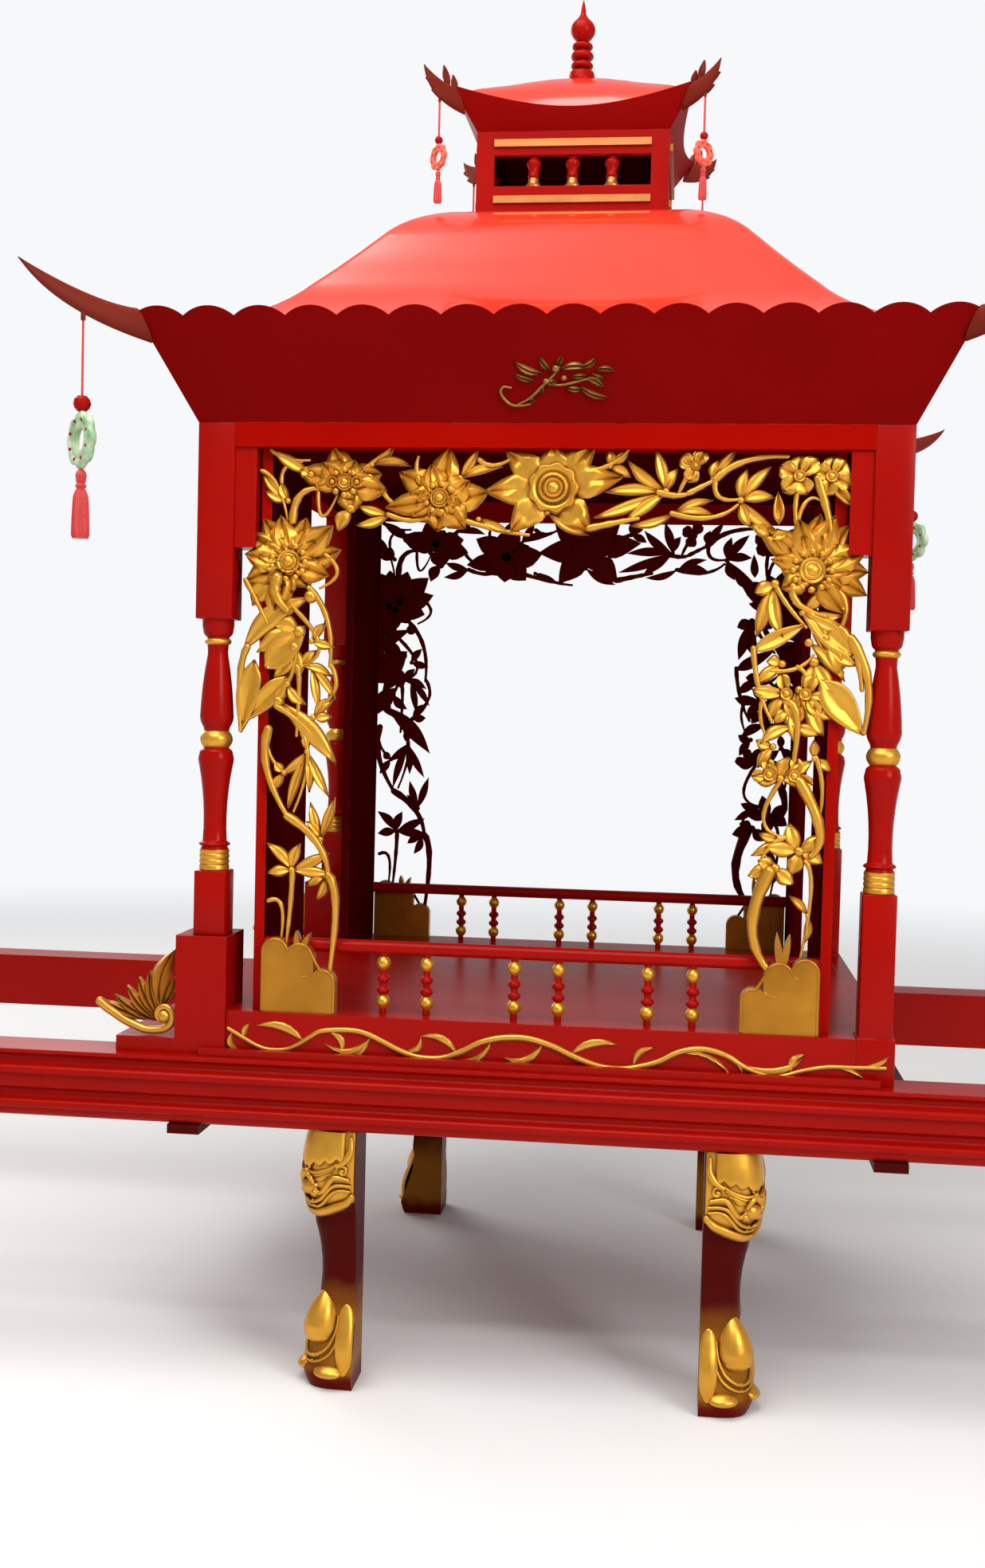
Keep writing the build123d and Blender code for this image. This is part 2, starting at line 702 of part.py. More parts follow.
# Low balustrades: a round handrail between the inner boards, on three pairs of balusters
handrail_y = front_plane - handrail_diameter / 2 - 2
handrail_z = floor_top + handrail_height
pair_pitch = 3 * baluster_pitch
baluster_places = [
    pair * pair_pitch + step * baluster_pitch / 2 for pair in (-1, 0, 1) for step in (-1, 1)
]
for label, side in (("balustrade_front", -1), ("balustrade_rear", 1)):
    with BuildPart() as balustrade:
        with BuildSketch(Plane.YZ.offset(-opening_half)):
            with Locations((side * handrail_y, handrail_z)):
                Circle(handrail_diameter / 2)
        extrude(amount=2 * opening_half)
        for baluster_x in baluster_places:
            foot = (baluster_x, side * handrail_y, floor_top)
            with BuildSketch(Plane(origin=foot, x_dir=(1, 0, 0), z_dir=(0, -1, 0))):
                add(baluster_outline(handrail_height - 4, baluster_radius))
                make_face()
            revolve(axis=Axis(foot, (0, 0, 1)))
    save(balustrade, label)

# Ceiling board on the lintels
with BuildPart() as ceiling:
    with BuildSketch(Plane.XY.offset(post_top)):
        Rectangle(body_width - 2 * eaves_thickness - 6, body_depth - 2 * eaves_thickness - 6)
    extrude(amount=ceiling_thickness)
save(ceiling, "ceiling")


def hopper(bottom_x, bottom_y, level, flare, tall):
    """Four-sided funnel, solid: half sizes at the bottom, flared outwards going up."""
    with BuildPart() as funnel:
        with BuildSketch(Plane.XY.offset(level)):
            Rectangle(2 * bottom_x, 2 * bottom_y)
        with BuildSketch(Plane.XY.offset(level + tall)):
            Rectangle(2 * (bottom_x + flare), 2 * (bottom_y + flare))
        loft(ruled=True)
    return funnel.part


def lobe_radius(chord, rise):
    """Radius of an arc from its chord and rise."""
    return (chord * chord / 4 + rise * rise) / (2 * rise)


# Main eaves boards: flared outwards, mitred at the corners, scalloped along the top
eaves_slant = math.hypot(eaves_height, eaves_flare) / eaves_height
eaves_wall = eaves_thickness * eaves_slant
eaves_outer = hopper(half_width, half_depth, post_top, eaves_flare, eaves_height)
eaves_inner = hopper(half_width - eaves_wall, half_depth - eaves_wall, post_top, eaves_flare, eaves_height)
reach = eaves_flare + 50
ridge = half_width - half_depth
corner_x = half_width + reach
corner_y = half_depth + reach
eaves_width = body_width + 2 * eaves_flare
eaves_depth = body_depth + 2 * eaves_flare
eaves_boards = (
    # label, sector in plan, length of the top edge, plane that shows the board
    (
        "eaves_front",
        ((-corner_x, -corner_y), (corner_x, -corner_y), (ridge, 0), (-ridge, 0)),
        eaves_width,
        Plane.XZ,
    ),
    (
        "eaves_rear",
        ((-corner_x, corner_y), (-ridge, 0), (ridge, 0), (corner_x, corner_y)),
        eaves_width,
        Plane.XZ,
    ),
    ("eaves_left", ((-corner_x, -corner_y), (-ridge, 0), (-corner_x, corner_y)), eaves_depth, Plane.YZ),
    ("eaves_right", ((corner_x, -corner_y), (corner_x, corner_y), (ridge, 0)), eaves_depth, Plane.YZ),
)
for label, sector, top_length, face_plane in eaves_boards:
    lobes = round(top_length / scallop_pitch)
    pitch = top_length / lobes
    radius = lobe_radius(pitch, scallop_rise)
    valley = eaves_top - scallop_rise
    with BuildPart() as board:
        add(eaves_outer)
        add(eaves_inner, mode=Mode.SUBTRACT)
        with BuildSketch(Plane.XY.offset(post_top)):
            Polygon(*sector, align=None)
        extrude(amount=eaves_height, mode=Mode.INTERSECT)
        with BuildSketch(face_plane):
            with Locations((0, valley + scallop_rise)):
                Rectangle(top_length + 10, 2 * scallop_rise)
            with Locations((0, eaves_top - radius)):
                with GridLocations(pitch, 0, lobes, 1):
                    Circle(radius, mode=Mode.SUBTRACT)
        extrude(amount=half_width + reach, both=True, mode=Mode.SUBTRACT)
    save(board, label)


def horn_outline(length, rise, root):
    """Upswept horn: x is outwards along the corner, y is up from the top of the boards."""
    with BuildLine() as outline:
        Line((-0.7 * root, -root), (-0.2 * root, -2))
        ThreePointArc((-0.2 * root, -2), (0.4 * length, 0.16 * rise), (length, rise))
        ThreePointArc((length, rise), (0.55 * length, -0.28 * root), (-0.7 * root, -root))
    return outline.line


def corner_frame(end, side, half_x, half_y, level):
    """Upright plane through a corner of the roof, its x outwards along the diagonal."""
    return Plane(origin=(end * half_x, side * half_y, level), x_dir=(end, side, 0), z_dir=(side, -end, 0))


# Horns at the corners of the main eaves, each with a peg for its ornament
peg_radius = 3.0
peg_reach = 0.42 * horn_length
horn_rise = 40.0
horn_root = 38.0
peg_bottom = eaves_top - 0.75 * horn_root
with BuildPart() as eaves_horns:
    for end in (-1, 1):
        for side in (-1, 1):
            with BuildSketch(corner_frame(end, side, eaves_width / 2, eaves_depth / 2, eaves_top)):
                add(horn_outline(horn_length, horn_rise, horn_root))
                make_face()
            extrude(amount=horn_thickness / 2, both=True)
            peg_x = end * (half_width + eaves_flare + peg_reach * math.sqrt(0.5))
            peg_y = side * (half_depth + eaves_flare + peg_reach * math.sqrt(0.5))
            with BuildSketch(Plane.XY.offset(peg_bottom)):
                with Locations((peg_x, peg_y)):
                    Circle(peg_radius)
            extrude(amount=eaves_top - peg_bottom - 6)
    add(eaves_outer, mode=Mode.SUBTRACT)
save(eaves_horns, "eaves_horns")

# Main roof: two curved outlines crossed, hollow underneath, its foot inside the eaves boards
roof_curve = {
    # share of the way out, share of the way up
    "shoulder": (0.19, 0.908),
    "shoulder_end": (0.33, 0.737),
    "slope_end": (0.555, 0.377),
    "foot_curve": (0.74, 0.158),
}


def roof_outline(half_top, half_bottom):
    """Bell-shaped outline of the main roof across one of its two widths."""
    point = {}
    for name, (across, up) in roof_curve.items():
        point[name] = (half_top + across * (half_bottom - half_top), up * roof_rise)
    with BuildLine() as outline:
        Line((0, roof_rise), (half_top, roof_rise))
        ThreePointArc((half_top, roof_rise), point["shoulder"], point["shoulder_end"])
        Line(point["shoulder_end"], point["slope_end"])
        ThreePointArc(point["slope_end"], point["foot_curve"], (half_bottom, 0))
        Line((half_bottom, 0), (0, 0))
        mirror(about=Plane.YZ)
    return outline.line


foot_inset = eaves_wall - eaves_flare * (roof_bottom - post_top) / eaves_height + joint_gap
roof_plan = (half_width - foot_inset, half_depth - foot_inset)


def roof_solid(level):
    """The whole roof shape, filled, with its foot at the given level."""
    with BuildPart() as shape:
        with BuildSketch(Plane.XZ):
            with Locations((0, level)):
                add(make_face(roof_outline(lantern_half, roof_plan[0]), mode=Mode.PRIVATE))
        extrude(amount=roof_plan[1], both=True)
        with BuildSketch(Plane.YZ):
            with Locations((0, level)):
                add(make_face(roof_outline(lantern_half, roof_plan[1]), mode=Mode.PRIVATE))
        extrude(amount=roof_plan[0], both=True, mode=Mode.INTERSECT)
    return shape.part


with BuildPart() as main_roof:
    add(roof_solid(roof_bottom))
    add(roof_solid(roof_bottom - roof_shell), mode=Mode.SUBTRACT)
save(main_roof, "main_roof")

# Lantern: a square box with a wide window in each wall
with BuildPart() as lantern:
    with BuildSketch(Plane.XY.offset(roof_top)):
        Rectangle(2 * lantern_half, 2 * lantern_half)
        offset(amount=-lantern_wall, kind=Kind.INTERSECTION, mode=Mode.SUBTRACT)
    extrude(amount=lantern_height)
    for face_plane in (Plane.XZ, Plane.YZ):
        with BuildSketch(face_plane):
            with Locations((0, roof_top + window_sill + window_height / 2)):
                Rectangle(2 * window_half, window_height)
        extrude(amount=2 * lantern_half, both=True, mode=Mode.SUBTRACT)
save(lantern, "lantern")

# Slim mouldings over and under the windows of the lantern
moulding_proud = 4.0
moulding_height = 10.0
moulding_levels = (roof_top + 17, roof_top + lantern_height - 17)
with BuildPart() as lantern_mouldings:
    for level in moulding_levels:
        with BuildSketch(Plane.XY.offset(level - moulding_height / 2)):
            for side in (-1, 1):
                with Locations((0, side * (lantern_half + moulding_proud / 2))):
                    Rectangle(2 * window_half, moulding_proud)
                with Locations((side * (lantern_half + moulding_proud / 2), 0)):
                    Rectangle(moulding_proud, 2 * window_half)
        extrude(amount=moulding_height)
save(lantern_mouldings, "lantern_mouldings")

# Three short balusters in each window
small_radius = 7.5
small_pitch = 55.0
wall_middle = lantern_half - lantern_wall / 2
with BuildPart() as lantern_balusters:
    for turn in range(4):
        for step in (-1, 0, 1):
            along = step * small_pitch
            across = -wall_middle
            angle = math.radians(90 * turn)
            foot = (
                along * math.cos(angle) - across * math.sin(angle),
                along * math.sin(angle) + across * math.cos(angle),
                roof_top + window_sill,
            )
            with BuildSketch(Plane(origin=foot, x_dir=(1, 0, 0), z_dir=(0, -1, 0))):
                with BuildLine():
                    tall = window_height
                    neck = 0.5 * small_radius
                    Polyline((0, 0), (small_radius, 0), (small_radius, 0.14 * tall), (neck, 0.42 * tall))
                    ring = 0.8 * small_radius
                    Polyline((neck, 0.42 * tall), (neck, 0.55 * tall), (ring, 0.55 * tall))
                    Polyline((ring, 0.55 * tall), (ring, 0.68 * tall), (neck, 0.68 * tall))
                    Polyline((neck, 0.68 * tall), (neck, tall), (0, tall), (0, 0))
                make_face()
            revolve(axis=Axis(foot, (0, 0, 1)))
save(lantern_balusters, "lantern_balusters")

# Eaves of the lantern: four flared boards whose top edges sag between the corners
cap_slant = math.hypot(cap_eaves_height, cap_eaves_flare) / cap_eaves_height
cap_wall = cap_eaves_thickness * cap_slant
cap_inner_half = lantern_half - cap_wall
cap_outer = hopper(lantern_half, lantern_half, lantern_top, cap_eaves_flare, cap_eaves_height)
cap_inner = hopper(cap_inner_half, cap_inner_half, lantern_top, cap_eaves_flare, cap_eaves_height)
cap_top = lantern_top + cap_eaves_height
cap_half = lantern_half + cap_eaves_flare
sag_radius = lobe_radius(2 * cap_half, cap_eaves_sag)
with BuildPart() as cap_eaves:
    add(cap_outer)
    add(cap_inner, mode=Mode.SUBTRACT)
    for face_plane in (Plane.XZ, Plane.YZ):
        with BuildSketch(face_plane):
            with Locations((0, cap_top - cap_eaves_sag + sag_radius)):
                Circle(sag_radius)
        extrude(amount=2 * cap_half, both=True, mode=Mode.SUBTRACT)
save(cap_eaves, "cap_eaves")

# Small horns at the corners of the lantern's eaves
cap_horn_root = 30.0
cap_horn_rise = 8.0
cap_horn_thickness = 8.0
cap_peg_reach = 0.4 * cap_horn_length
cap_peg_bottom = cap_top - 0.95 * cap_horn_root
with BuildPart() as cap_horns:
    for end in (-1, 1):
        for side in (-1, 1):
            with BuildSketch(corner_frame(end, side, cap_half, cap_half, cap_top)):
                add(horn_outline(cap_horn_length, cap_horn_rise, cap_horn_root))
                make_face()
            extrude(amount=cap_horn_thickness / 2, both=True)
            peg_place = cap_half + cap_peg_reach * math.sqrt(0.5)
            with BuildSketch(Plane.XY.offset(cap_peg_bottom)):
                with Locations((end * peg_place, side * peg_place)):
                    Circle(peg_radius - 1)
            extrude(amount=cap_top - cap_peg_bottom - 8)
    add(cap_outer, mode=Mode.SUBTRACT)
save(cap_horns, "cap_horns")

# Roof of the lantern, set inside its eaves
cap_roof_half = cap_inner_half - joint_gap
with BuildPart() as cap_roof:
    for face_plane, combine in ((Plane.XZ, Mode.ADD), (Plane.YZ, Mode.INTERSECT)):
        with BuildSketch(face_plane):
            with BuildLine():
                rise = cap_roof_rise
                Line((0, lantern_top), (cap_roof_half, lantern_top))
                Line((cap_roof_half, lantern_top), (cap_roof_half, lantern_top + 8))
                ThreePointArc(
                    (cap_roof_half, lantern_top + 8),
                    (0.66 * cap_roof_half, lantern_top + 0.55 * rise),
                    (0.2 * cap_roof_half, lantern_top + 0.9 * rise),
                )
                Line((0.2 * cap_roof_half, lantern_top + 0.9 * rise), (20, lantern_top + rise))
                Line((20, lantern_top + rise), (0, lantern_top + rise))
                mirror(about=Plane.YZ)
            make_face()
        extrude(amount=cap_roof_half, both=True, mode=combine)
save(cap_roof, "cap_roof")

# Turned finial on the very top
finial_rings = (
    # bottom, top, radius: drum, three rings
    (0.0, 20.0, 18.0),
    (24.0, 33.0, 15.0),
    (36.0, 48.0, 16.0),
    (51.0, 61.0, 14.0),
)
finial_base = lantern_top + cap_roof_rise
with BuildPart() as finial:
    with BuildSketch(Plane.XZ):
        with Locations((4, finial_base + finial_height / 3)):
            Rectangle(8, 2 * finial_height / 3)
        for low, high, radius in finial_rings:
            with Locations((radius / 2, finial_base + (low + high) / 2)):
                Rectangle(radius, high - low)
        with BuildLine():
            bulb = finial_base + 64
            Polyline((0, bulb), (9, bulb), (16, bulb + 8), (18, bulb + 18), (14, bulb + 28), (6, bulb + 38))
            Polyline((6, bulb + 38), (0, finial_base + finial_height), (0, bulb))
        make_face()
    revolve(axis=Axis.Z)
save(finial, "finial")

# Hanging ornaments: a cord, a carved ring with its bead, and a tassel under each horn
pendant_places = []
for end in (-1, 1):
    for side in (-1, 1):
        reach_out = peg_reach * math.sqrt(0.5)
        large_x = end * (eaves_width / 2 + reach_out)
        large_y = side * (eaves_depth / 2 + reach_out)
        pendant_places.append((end, side, large_x, large_y, peg_bottom, 1.0))
        pendant_places.append((end, side, end * peg_place, side * peg_place, cap_peg_bottom, small_pendant))

with BuildPart() as pendant_cords:
    for end, side, place_x, place_y, level, scale_by in pendant_places:
        length = pendant_cord_length * scale_by
        with BuildSketch(Plane.XY.offset(level - length)):
            with Locations((place_x, place_y)):
                Circle(pendant_cord_diameter / 2)
        extrude(amount=length)
save(pendant_cords, "pendant_cords")

with BuildPart() as pendant_rings:
    for end, side, place_x, place_y, level, scale_by in pendant_places:
        bead = pendant_bead_radius * scale_by
        ring = pendant_ring_radius * scale_by
        bead_top = level - pendant_cord_length * scale_by
        ring_middle = bead_top - 2 * bead - ring + 3 * scale_by
        bead_plane = Plane(origin=(place_x, place_y, bead_top - bead), x_dir=(1, 0, 0), z_dir=(0, -1, 0))
        with BuildSketch(bead_plane):
            with BuildLine():
                Line((0, -bead), (0, bead))
                ThreePointArc((0, bead), (bead, 0), (0, -bead))
            make_face()
        revolve(axis=Axis((place_x, place_y, 0), (0, 0, 1)))
        with BuildSketch(corner_frame(end, side, end * place_x, side * place_y, ring_middle)):
            Circle(ring)
            Circle(0.4 * ring, mode=Mode.SUBTRACT)
        extrude(amount=5 * scale_by, both=True)
save(pendant_rings, "pendant_rings")

with BuildPart() as pendant_tassels:
    for end, side, place_x, place_y, level, scale_by in pendant_places:
        bead = pendant_bead_radius * scale_by
        ring = pendant_ring_radius * scale_by
        head = level - pendant_cord_length * scale_by - 2 * bead - 2 * ring + 3 * scale_by
        tall = pendant_tassel_length * scale_by
        wide = pendant_tassel_radius * scale_by
        with BuildSketch(Plane(origin=(place_x, place_y, head), x_dir=(1, 0, 0), z_dir=(0, -1, 0))):
            with BuildLine():
                waist = (0.45 * wide, -0.24 * tall)
                Polyline((0, 0), (0.3 * wide, 0), (0.6 * wide, -0.12 * tall), waist)
                Polyline(waist, (0.8 * wide, -0.4 * tall), (wide, -tall), (0, -tall), (0, 0))
            make_face()
        revolve(axis=Axis((place_x, place_y, 0), (0, 0, 1)))
save(pendant_tassels, "pendant_tassels")
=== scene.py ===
import json
import math
import random

import bmesh
import bpy
from mathutils import Matrix, Vector


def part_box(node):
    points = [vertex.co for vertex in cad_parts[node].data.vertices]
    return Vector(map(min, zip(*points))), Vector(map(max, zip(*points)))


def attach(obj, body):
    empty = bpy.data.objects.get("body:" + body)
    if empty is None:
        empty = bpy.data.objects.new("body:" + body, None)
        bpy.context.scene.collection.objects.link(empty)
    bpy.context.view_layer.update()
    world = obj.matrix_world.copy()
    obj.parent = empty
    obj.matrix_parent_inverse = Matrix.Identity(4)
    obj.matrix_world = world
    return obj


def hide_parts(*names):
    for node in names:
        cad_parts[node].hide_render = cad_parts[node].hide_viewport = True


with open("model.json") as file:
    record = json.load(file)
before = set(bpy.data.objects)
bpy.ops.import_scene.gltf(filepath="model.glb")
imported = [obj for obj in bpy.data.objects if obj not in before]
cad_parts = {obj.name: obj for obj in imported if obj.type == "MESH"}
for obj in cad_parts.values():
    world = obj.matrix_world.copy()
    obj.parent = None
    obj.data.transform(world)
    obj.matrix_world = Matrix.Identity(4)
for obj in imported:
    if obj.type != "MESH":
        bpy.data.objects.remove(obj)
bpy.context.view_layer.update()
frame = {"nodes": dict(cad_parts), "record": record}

# A red-lacquered pavilion on two carrying rails, with gilt carving on its front and rear.
# The model is in metres, in the frame of the solids: X along the rails, -Y the carved front, +Z up.
# Outlines and drawings are in millimetres, which mm() and MM turn into metres.
scene = bpy.context.scene

MM = 0.001
UP = Vector((0, 0, 1))
FRONT_REAR = (-1, "front"), (1, "rear")
LEFT_RIGHT = (-1, "left"), (1, "right")
JAMB_THICKNESS = 13

# Levels and places read from the solids
rail_low, rail_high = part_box("rail_front")
jamb_low, jamb_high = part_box("jamb_boards")
eaves_low, eaves_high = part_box("eaves_front")
lantern_low, lantern_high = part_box("lantern")
cap_low, cap_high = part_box("cap_eaves")
floor_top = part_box("deck")[1].z
lower_half = -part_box("post_front_right")[0].y
front_plane = -jamb_low.y
opening_half = jamb_high.x - JAMB_THICKNESS * MM
board_corners = {
    "eaves_horns": Vector((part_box("eaves_right")[1].x, -eaves_low.y, eaves_high.z)),
    "cap_horns": cap_high,
}


# Shapes

def mm(*values):
    """A point or a vector, from millimetres to metres."""
    return Vector(values) * MM


def clamp(value, low=0, high=1):
    return min(max(value, low), high)


def round_edges(bm, edges, width):
    bmesh.ops.bevel(bm, geom=list(edges), offset=width, segments=2, profile=0.5, affect="EDGES", material=-1)


def add_block(bm, low, high, edge_width=1.5 * MM):
    """A box between two corners, its edges rounded."""
    low, high = Vector(low), Vector(high)
    place = Matrix.Translation((low + high) / 2) @ Matrix.Diagonal((*(high - low), 1))
    made = bmesh.ops.create_cube(bm, size=1, matrix=place)["verts"]
    round_edges(bm, {edge for v in made for edge in v.link_edges}, edge_width)


def swell(first, *stretches, steps=6):
    """A turned outline, from its axis and back to it: heights and radii.

    It starts at a first height and radius; each stretch ends at a height and radius, and bulges on the way.
    """
    points = [(first[0], 0), first[:2]] if first[1] else [first[:2]]
    for height, radius, bulge in stretches:
        last_height, last_radius = points[-1]
        count = steps if bulge else 1
        for i in range(1, count + 1):
            t = i / count
            points.append((
                last_height + t * (height - last_height),
                last_radius + t * (radius - last_radius) + 4 * bulge * t * (1 - t),
            ))
    if points[-1][1]:
        points.append((points[-1][0], 0))
    return points


def spin(bm, geom, centre, axis, sides):
    """A full turn of an outline round an axis."""
    bmesh.ops.spin(
        bm, geom=geom, cent=centre, axis=axis, dvec=(0, 0, 0), angle=math.tau, steps=sides, use_merge=True,
        use_duplicate=False,
    )


def add_turned(bm, foot, outline, axis=UP, sides=28):
    """A turned shape standing on a point, its outline measured along the axis and out from it."""
    turn = UP.rotation_difference(Vector(axis).normalized()).to_matrix().to_4x4()
    place = Matrix.Translation(Vector(foot)) @ turn
    points = [bm.verts.new(place @ mm(radius, 0, height)) for height, radius in outline]
    edges = [bm.edges.new(pair) for pair in zip(points, points[1:])]
    spin(bm, points + edges, place.translation, place.to_3x3() @ UP, sides)


def add_ball(bm, middle, radii, rings=10, sides=16):
    """A ball or an egg, its middle and its three radii in millimetres."""
    shape = Matrix.Translation(mm(*middle)) @ Matrix.Diagonal((*mm(*radii), 1))
    bmesh.ops.create_uvsphere(bm, u_segments=sides, v_segments=rings, radius=1, matrix=shape)


def add_rod(bm, course, widths, sides=10):
    """A round stem along the points of a drawing, its width changing from end to end, with round ends."""
    ring = None
    last = len(course) - 1
    for i, point in enumerate(course):
        ahead = course[min(i + 1, last)] - course[max(i - 1, 0)]
        turn = UP.rotation_difference(ahead.normalized()).to_matrix().to_4x4()
        made = bmesh.ops.create_circle(
            bm, cap_ends=i in (0, last), segments=sides, radius=widths[i] * MM / 2,
            matrix=Matrix.Translation(point * MM) @ turn,
        )["verts"]
        edges = {edge for v in made for edge in v.link_edges}
        if ring:
            bmesh.ops.bridge_loops(bm, edges=list(ring | edges))
        ring = edges
    for i in (0, last):
        add_ball(bm, course[i], [widths[i] / 2] * 3, 6, sides)


def smooth_course(points, steps=4):
    """A finer course through the same points, rounded between them."""
    ends = [2 * points[0] - points[1], *points, 2 * points[-1] - points[-2]]
    course = []
    for before, start, finish, after in zip(ends, ends[1:], ends[2:], ends[3:]):
        for i in range(steps):
            t = i / steps
            course.append(0.5 * (
                2 * start + (finish - before) * t + (2 * before - 5 * start + 4 * finish - after) * t ** 2
                + (3 * start - before - 3 * finish + after) * t ** 3
            ))
    return [*course, points[-1]]


def add_drawn_rod(bm, course, width, height):
    """A stem through the points of a flat drawing, finer at its ends."""
    points = smooth_course([Vector((x, y, height)) for x, y in course])
    last = len(points) - 1
    widths = [width * (0.55 + 0.45 * math.sin(math.pi * clamp(i / last, 0.08, 0.92))) for i in range(last + 1)]
    add_rod(bm, points, widths, 8)


def add_skin(bm, rings, hollow=False, foot_first=False):
    """A skin over rings of points: its two ends are filled, or joined to each other when it is hollow.

    Filling its foot before its sides settles along which diagonal the sides are cut into triangles.
    """
    loops = []
    for points in rings:
        verts = [bm.verts.new(point) for point in points]
        loops.append([bm.edges.new((verts[k - 1], verts[k])) for k in range(len(verts))])
    ends = [] if hollow else [loops[0], loops[-1]]
    if foot_first:
        bmesh.ops.edgeloop_fill(bm, edges=ends.pop(0))
    for lower, upper in zip(loops, loops[1:] + loops[:1] if hollow else loops[1:]):
        bmesh.ops.bridge_loops(bm, edges=lower + upper)
    for loop in ends:
        bmesh.ops.edgeloop_fill(bm, edges=loop)
    return loops


def merge(bm, part):
    """Move a finished shape into another."""
    mesh = bpy.data.meshes.new("shape")
    part.to_mesh(mesh)
    part.free()
    bm.from_mesh(mesh)
    bpy.data.meshes.remove(mesh)


def set_up(bm, across, up, out, origin):
    """Stand a drawing in the model: where its x, y and z point, and the place of its zero point."""
    turn = Matrix((across, up, out)).transposed().to_4x4()
    bmesh.ops.transform(bm, matrix=Matrix.Translation(origin) @ turn, verts=bm.verts)


def set_upright(bm, side, half_depth):
    """Stand a drawing of the front upright, at the front or the rear of the pavilion."""
    set_up(bm, (1, 0, 0), UP, (0, side, 0), (0, side * half_depth, 0))


def arc_points(start, bend, finish, count):
    """Points along the curve that runs through three points of a flat drawing."""
    start, bend, finish = Vector(start), Vector(bend), Vector(finish)
    control = 2 * bend - (start + finish) / 2
    shares = [i / (count - 1) for i in range(count)]
    return [(1 - t) ** 2 * start + 2 * t * (1 - t) * control + t * t * finish for t in shares]


def thick_grid(bm, columns, rows):
    """A square grid two units wide and a copy joined to it at its rim; returns the points of both."""
    known = set(bm.verts)
    bmesh.ops.create_grid(bm, x_segments=columns, y_segments=rows, size=1)
    flat = [v for v in bm.verts if v not in known]
    made = bmesh.ops.extrude_face_region(
        bm, geom=list({face for v in flat for face in v.link_faces}), use_keep_orig=True
    )["geom"]
    return flat, [v for v in made if isinstance(v, bmesh.types.BMVert)]


def leaf_slab():
    """Flat slab one unit deep that every carved leaf is shaped from."""
    bm = bmesh.new()
    bmesh.ops.translate(bm, vec=UP, verts=thick_grid(bm, 4, 6)[1])
    mesh = bpy.data.meshes.new("leaf_slab")
    bm.to_mesh(mesh)
    bm.free()
    return mesh


SLAB = leaf_slab()


def add_leaf(
    bm, root, tip, width, depth, bend=0.0, fullness=1.0, skew=1.0, groove=0.3, lift=0.0, floor=0.0, cup=0.0
):
    """A carved leaf or petal in a flat drawing, x and y in its plane and z out of it."""
    root, tip = Vector(root), Vector(tip)
    along = tip - root
    across = Vector((-along.y, along.x)).normalized()
    known = set(bm.verts)
    bm.from_mesh(SLAB)
    made = [v for v in bm.verts if v not in known]
    for v in made:
        side = v.co.x
        t = (v.co.y + 1) / 2
        half = width / 2 * math.sin(math.pi * t ** skew) ** fullness if 0 < t < 1 else 0
        spot = root + along * t + across * (side * half + bend * along.length * 4 * t * (1 - t))
        height = floor
        if v.co.z > 0.5:
            crown = 0.45 + 0.55 * math.sin(math.pi * clamp(t, 0.04, 0.96))
            if cup:
                hollow = cup * (1 - side * side) * math.sin(math.pi * t)
                ridge = 1 - hollow - 0.12 * math.cos(2 * math.pi * side)
            else:
                ridge = 1 - (2 * abs(side) - 1) ** 2 * (groove if abs(side) < 0.5 else 0.5)
            height += depth * crown * ridge + lift * t * t
        v.co = mm(*spot, height)
    bmesh.ops.remove_doubles(bm, verts=made, dist=0.02 * MM)


# Finishes

WHITE, HALF_GREY, BLACK = (1, 1, 1), (0.5, 0.5, 0.5), (0, 0, 0)
# Painted shade: the near-black red given to inner faces that lie in shade
PAINTED_SHADE_DARK = (0.060, 0.001, 0.001)
PAINTED_SHADE_BROWN = (0.15, 0.046, 0.005)


def feed(tree, node, inputs):
    """Join links to a node's inputs, by their names or numbers, or set their plain values."""
    for name, value in inputs.items():
        target = node.inputs[name]
        if isinstance(value, bpy.types.NodeSocket):
            tree.links.new(value, target)
        else:
            target.default_value = (*value, 1) if target.type == "RGBA" else value


def add_node(tree, kind, inputs, **settings):
    """A new node with its inputs and settings; returns its outputs."""
    node = tree.nodes.new("ShaderNode" + kind)
    for name, value in settings.items():
        setattr(node, name, value)
    feed(tree, node, inputs)
    return node.outputs


def start_finish(name):
    """A material with one shader, its node tree and the object's own coordinates."""
    finish = bpy.data.materials.new(name)
    finish.use_nodes = True
    tree = finish.node_tree
    return finish, tree, add_node(tree, "TexCoord", {})["Object"]


def set_shader(tree, inputs):
    feed(tree, tree.nodes["Principled BSDF"], inputs)


def noise(tree, place, scale, detail=4.0, stretch=None):
    """Noise in cycles per metre."""
    if stretch:
        place = add_node(tree, "Mapping", {"Vector": place, "Scale": stretch})["Vector"]
    return add_node(tree, "TexNoise", {"Vector": place, "Scale": scale, "Detail": detail})["Fac"]


def ramp(tree, source, *stops):
    """Colour by a value: stops are places and colours."""
    node = tree.nodes.new("ShaderNodeValToRGB")
    elements = node.color_ramp.elements
    while len(elements) < len(stops):
        elements.new(0.5)
    for element, (spot, colour) in zip(elements, stops):
        element.position = spot
        element.color = (*colour, 1)
    tree.links.new(source, node.inputs["Fac"])
    return node.outputs["Color"]


def mix(tree, share, low, high):
    """Blend two colours, each a link or a plain colour; the sockets are the factor's and the colours'."""
    return add_node(tree, "Mix", {0: share, 6: low, 7: high}, data_type="RGBA")[2]


def maths(tree, operation, *values):
    return add_node(tree, "Math", dict(enumerate(values)), operation=operation)["Value"]


def grey(tree, source, low, high):
    """Spread a 0 to 1 value between two numbers."""
    return add_node(tree, "MapRange", {"Value": source, "To Min": low, "To Max": high})["Result"]


def bump(tree, source, strength, distance, **normal):
    inputs = {"Height": source, "Strength": strength, "Distance": distance, **normal}
    return add_node(tree, "Bump", inputs)["Normal"]


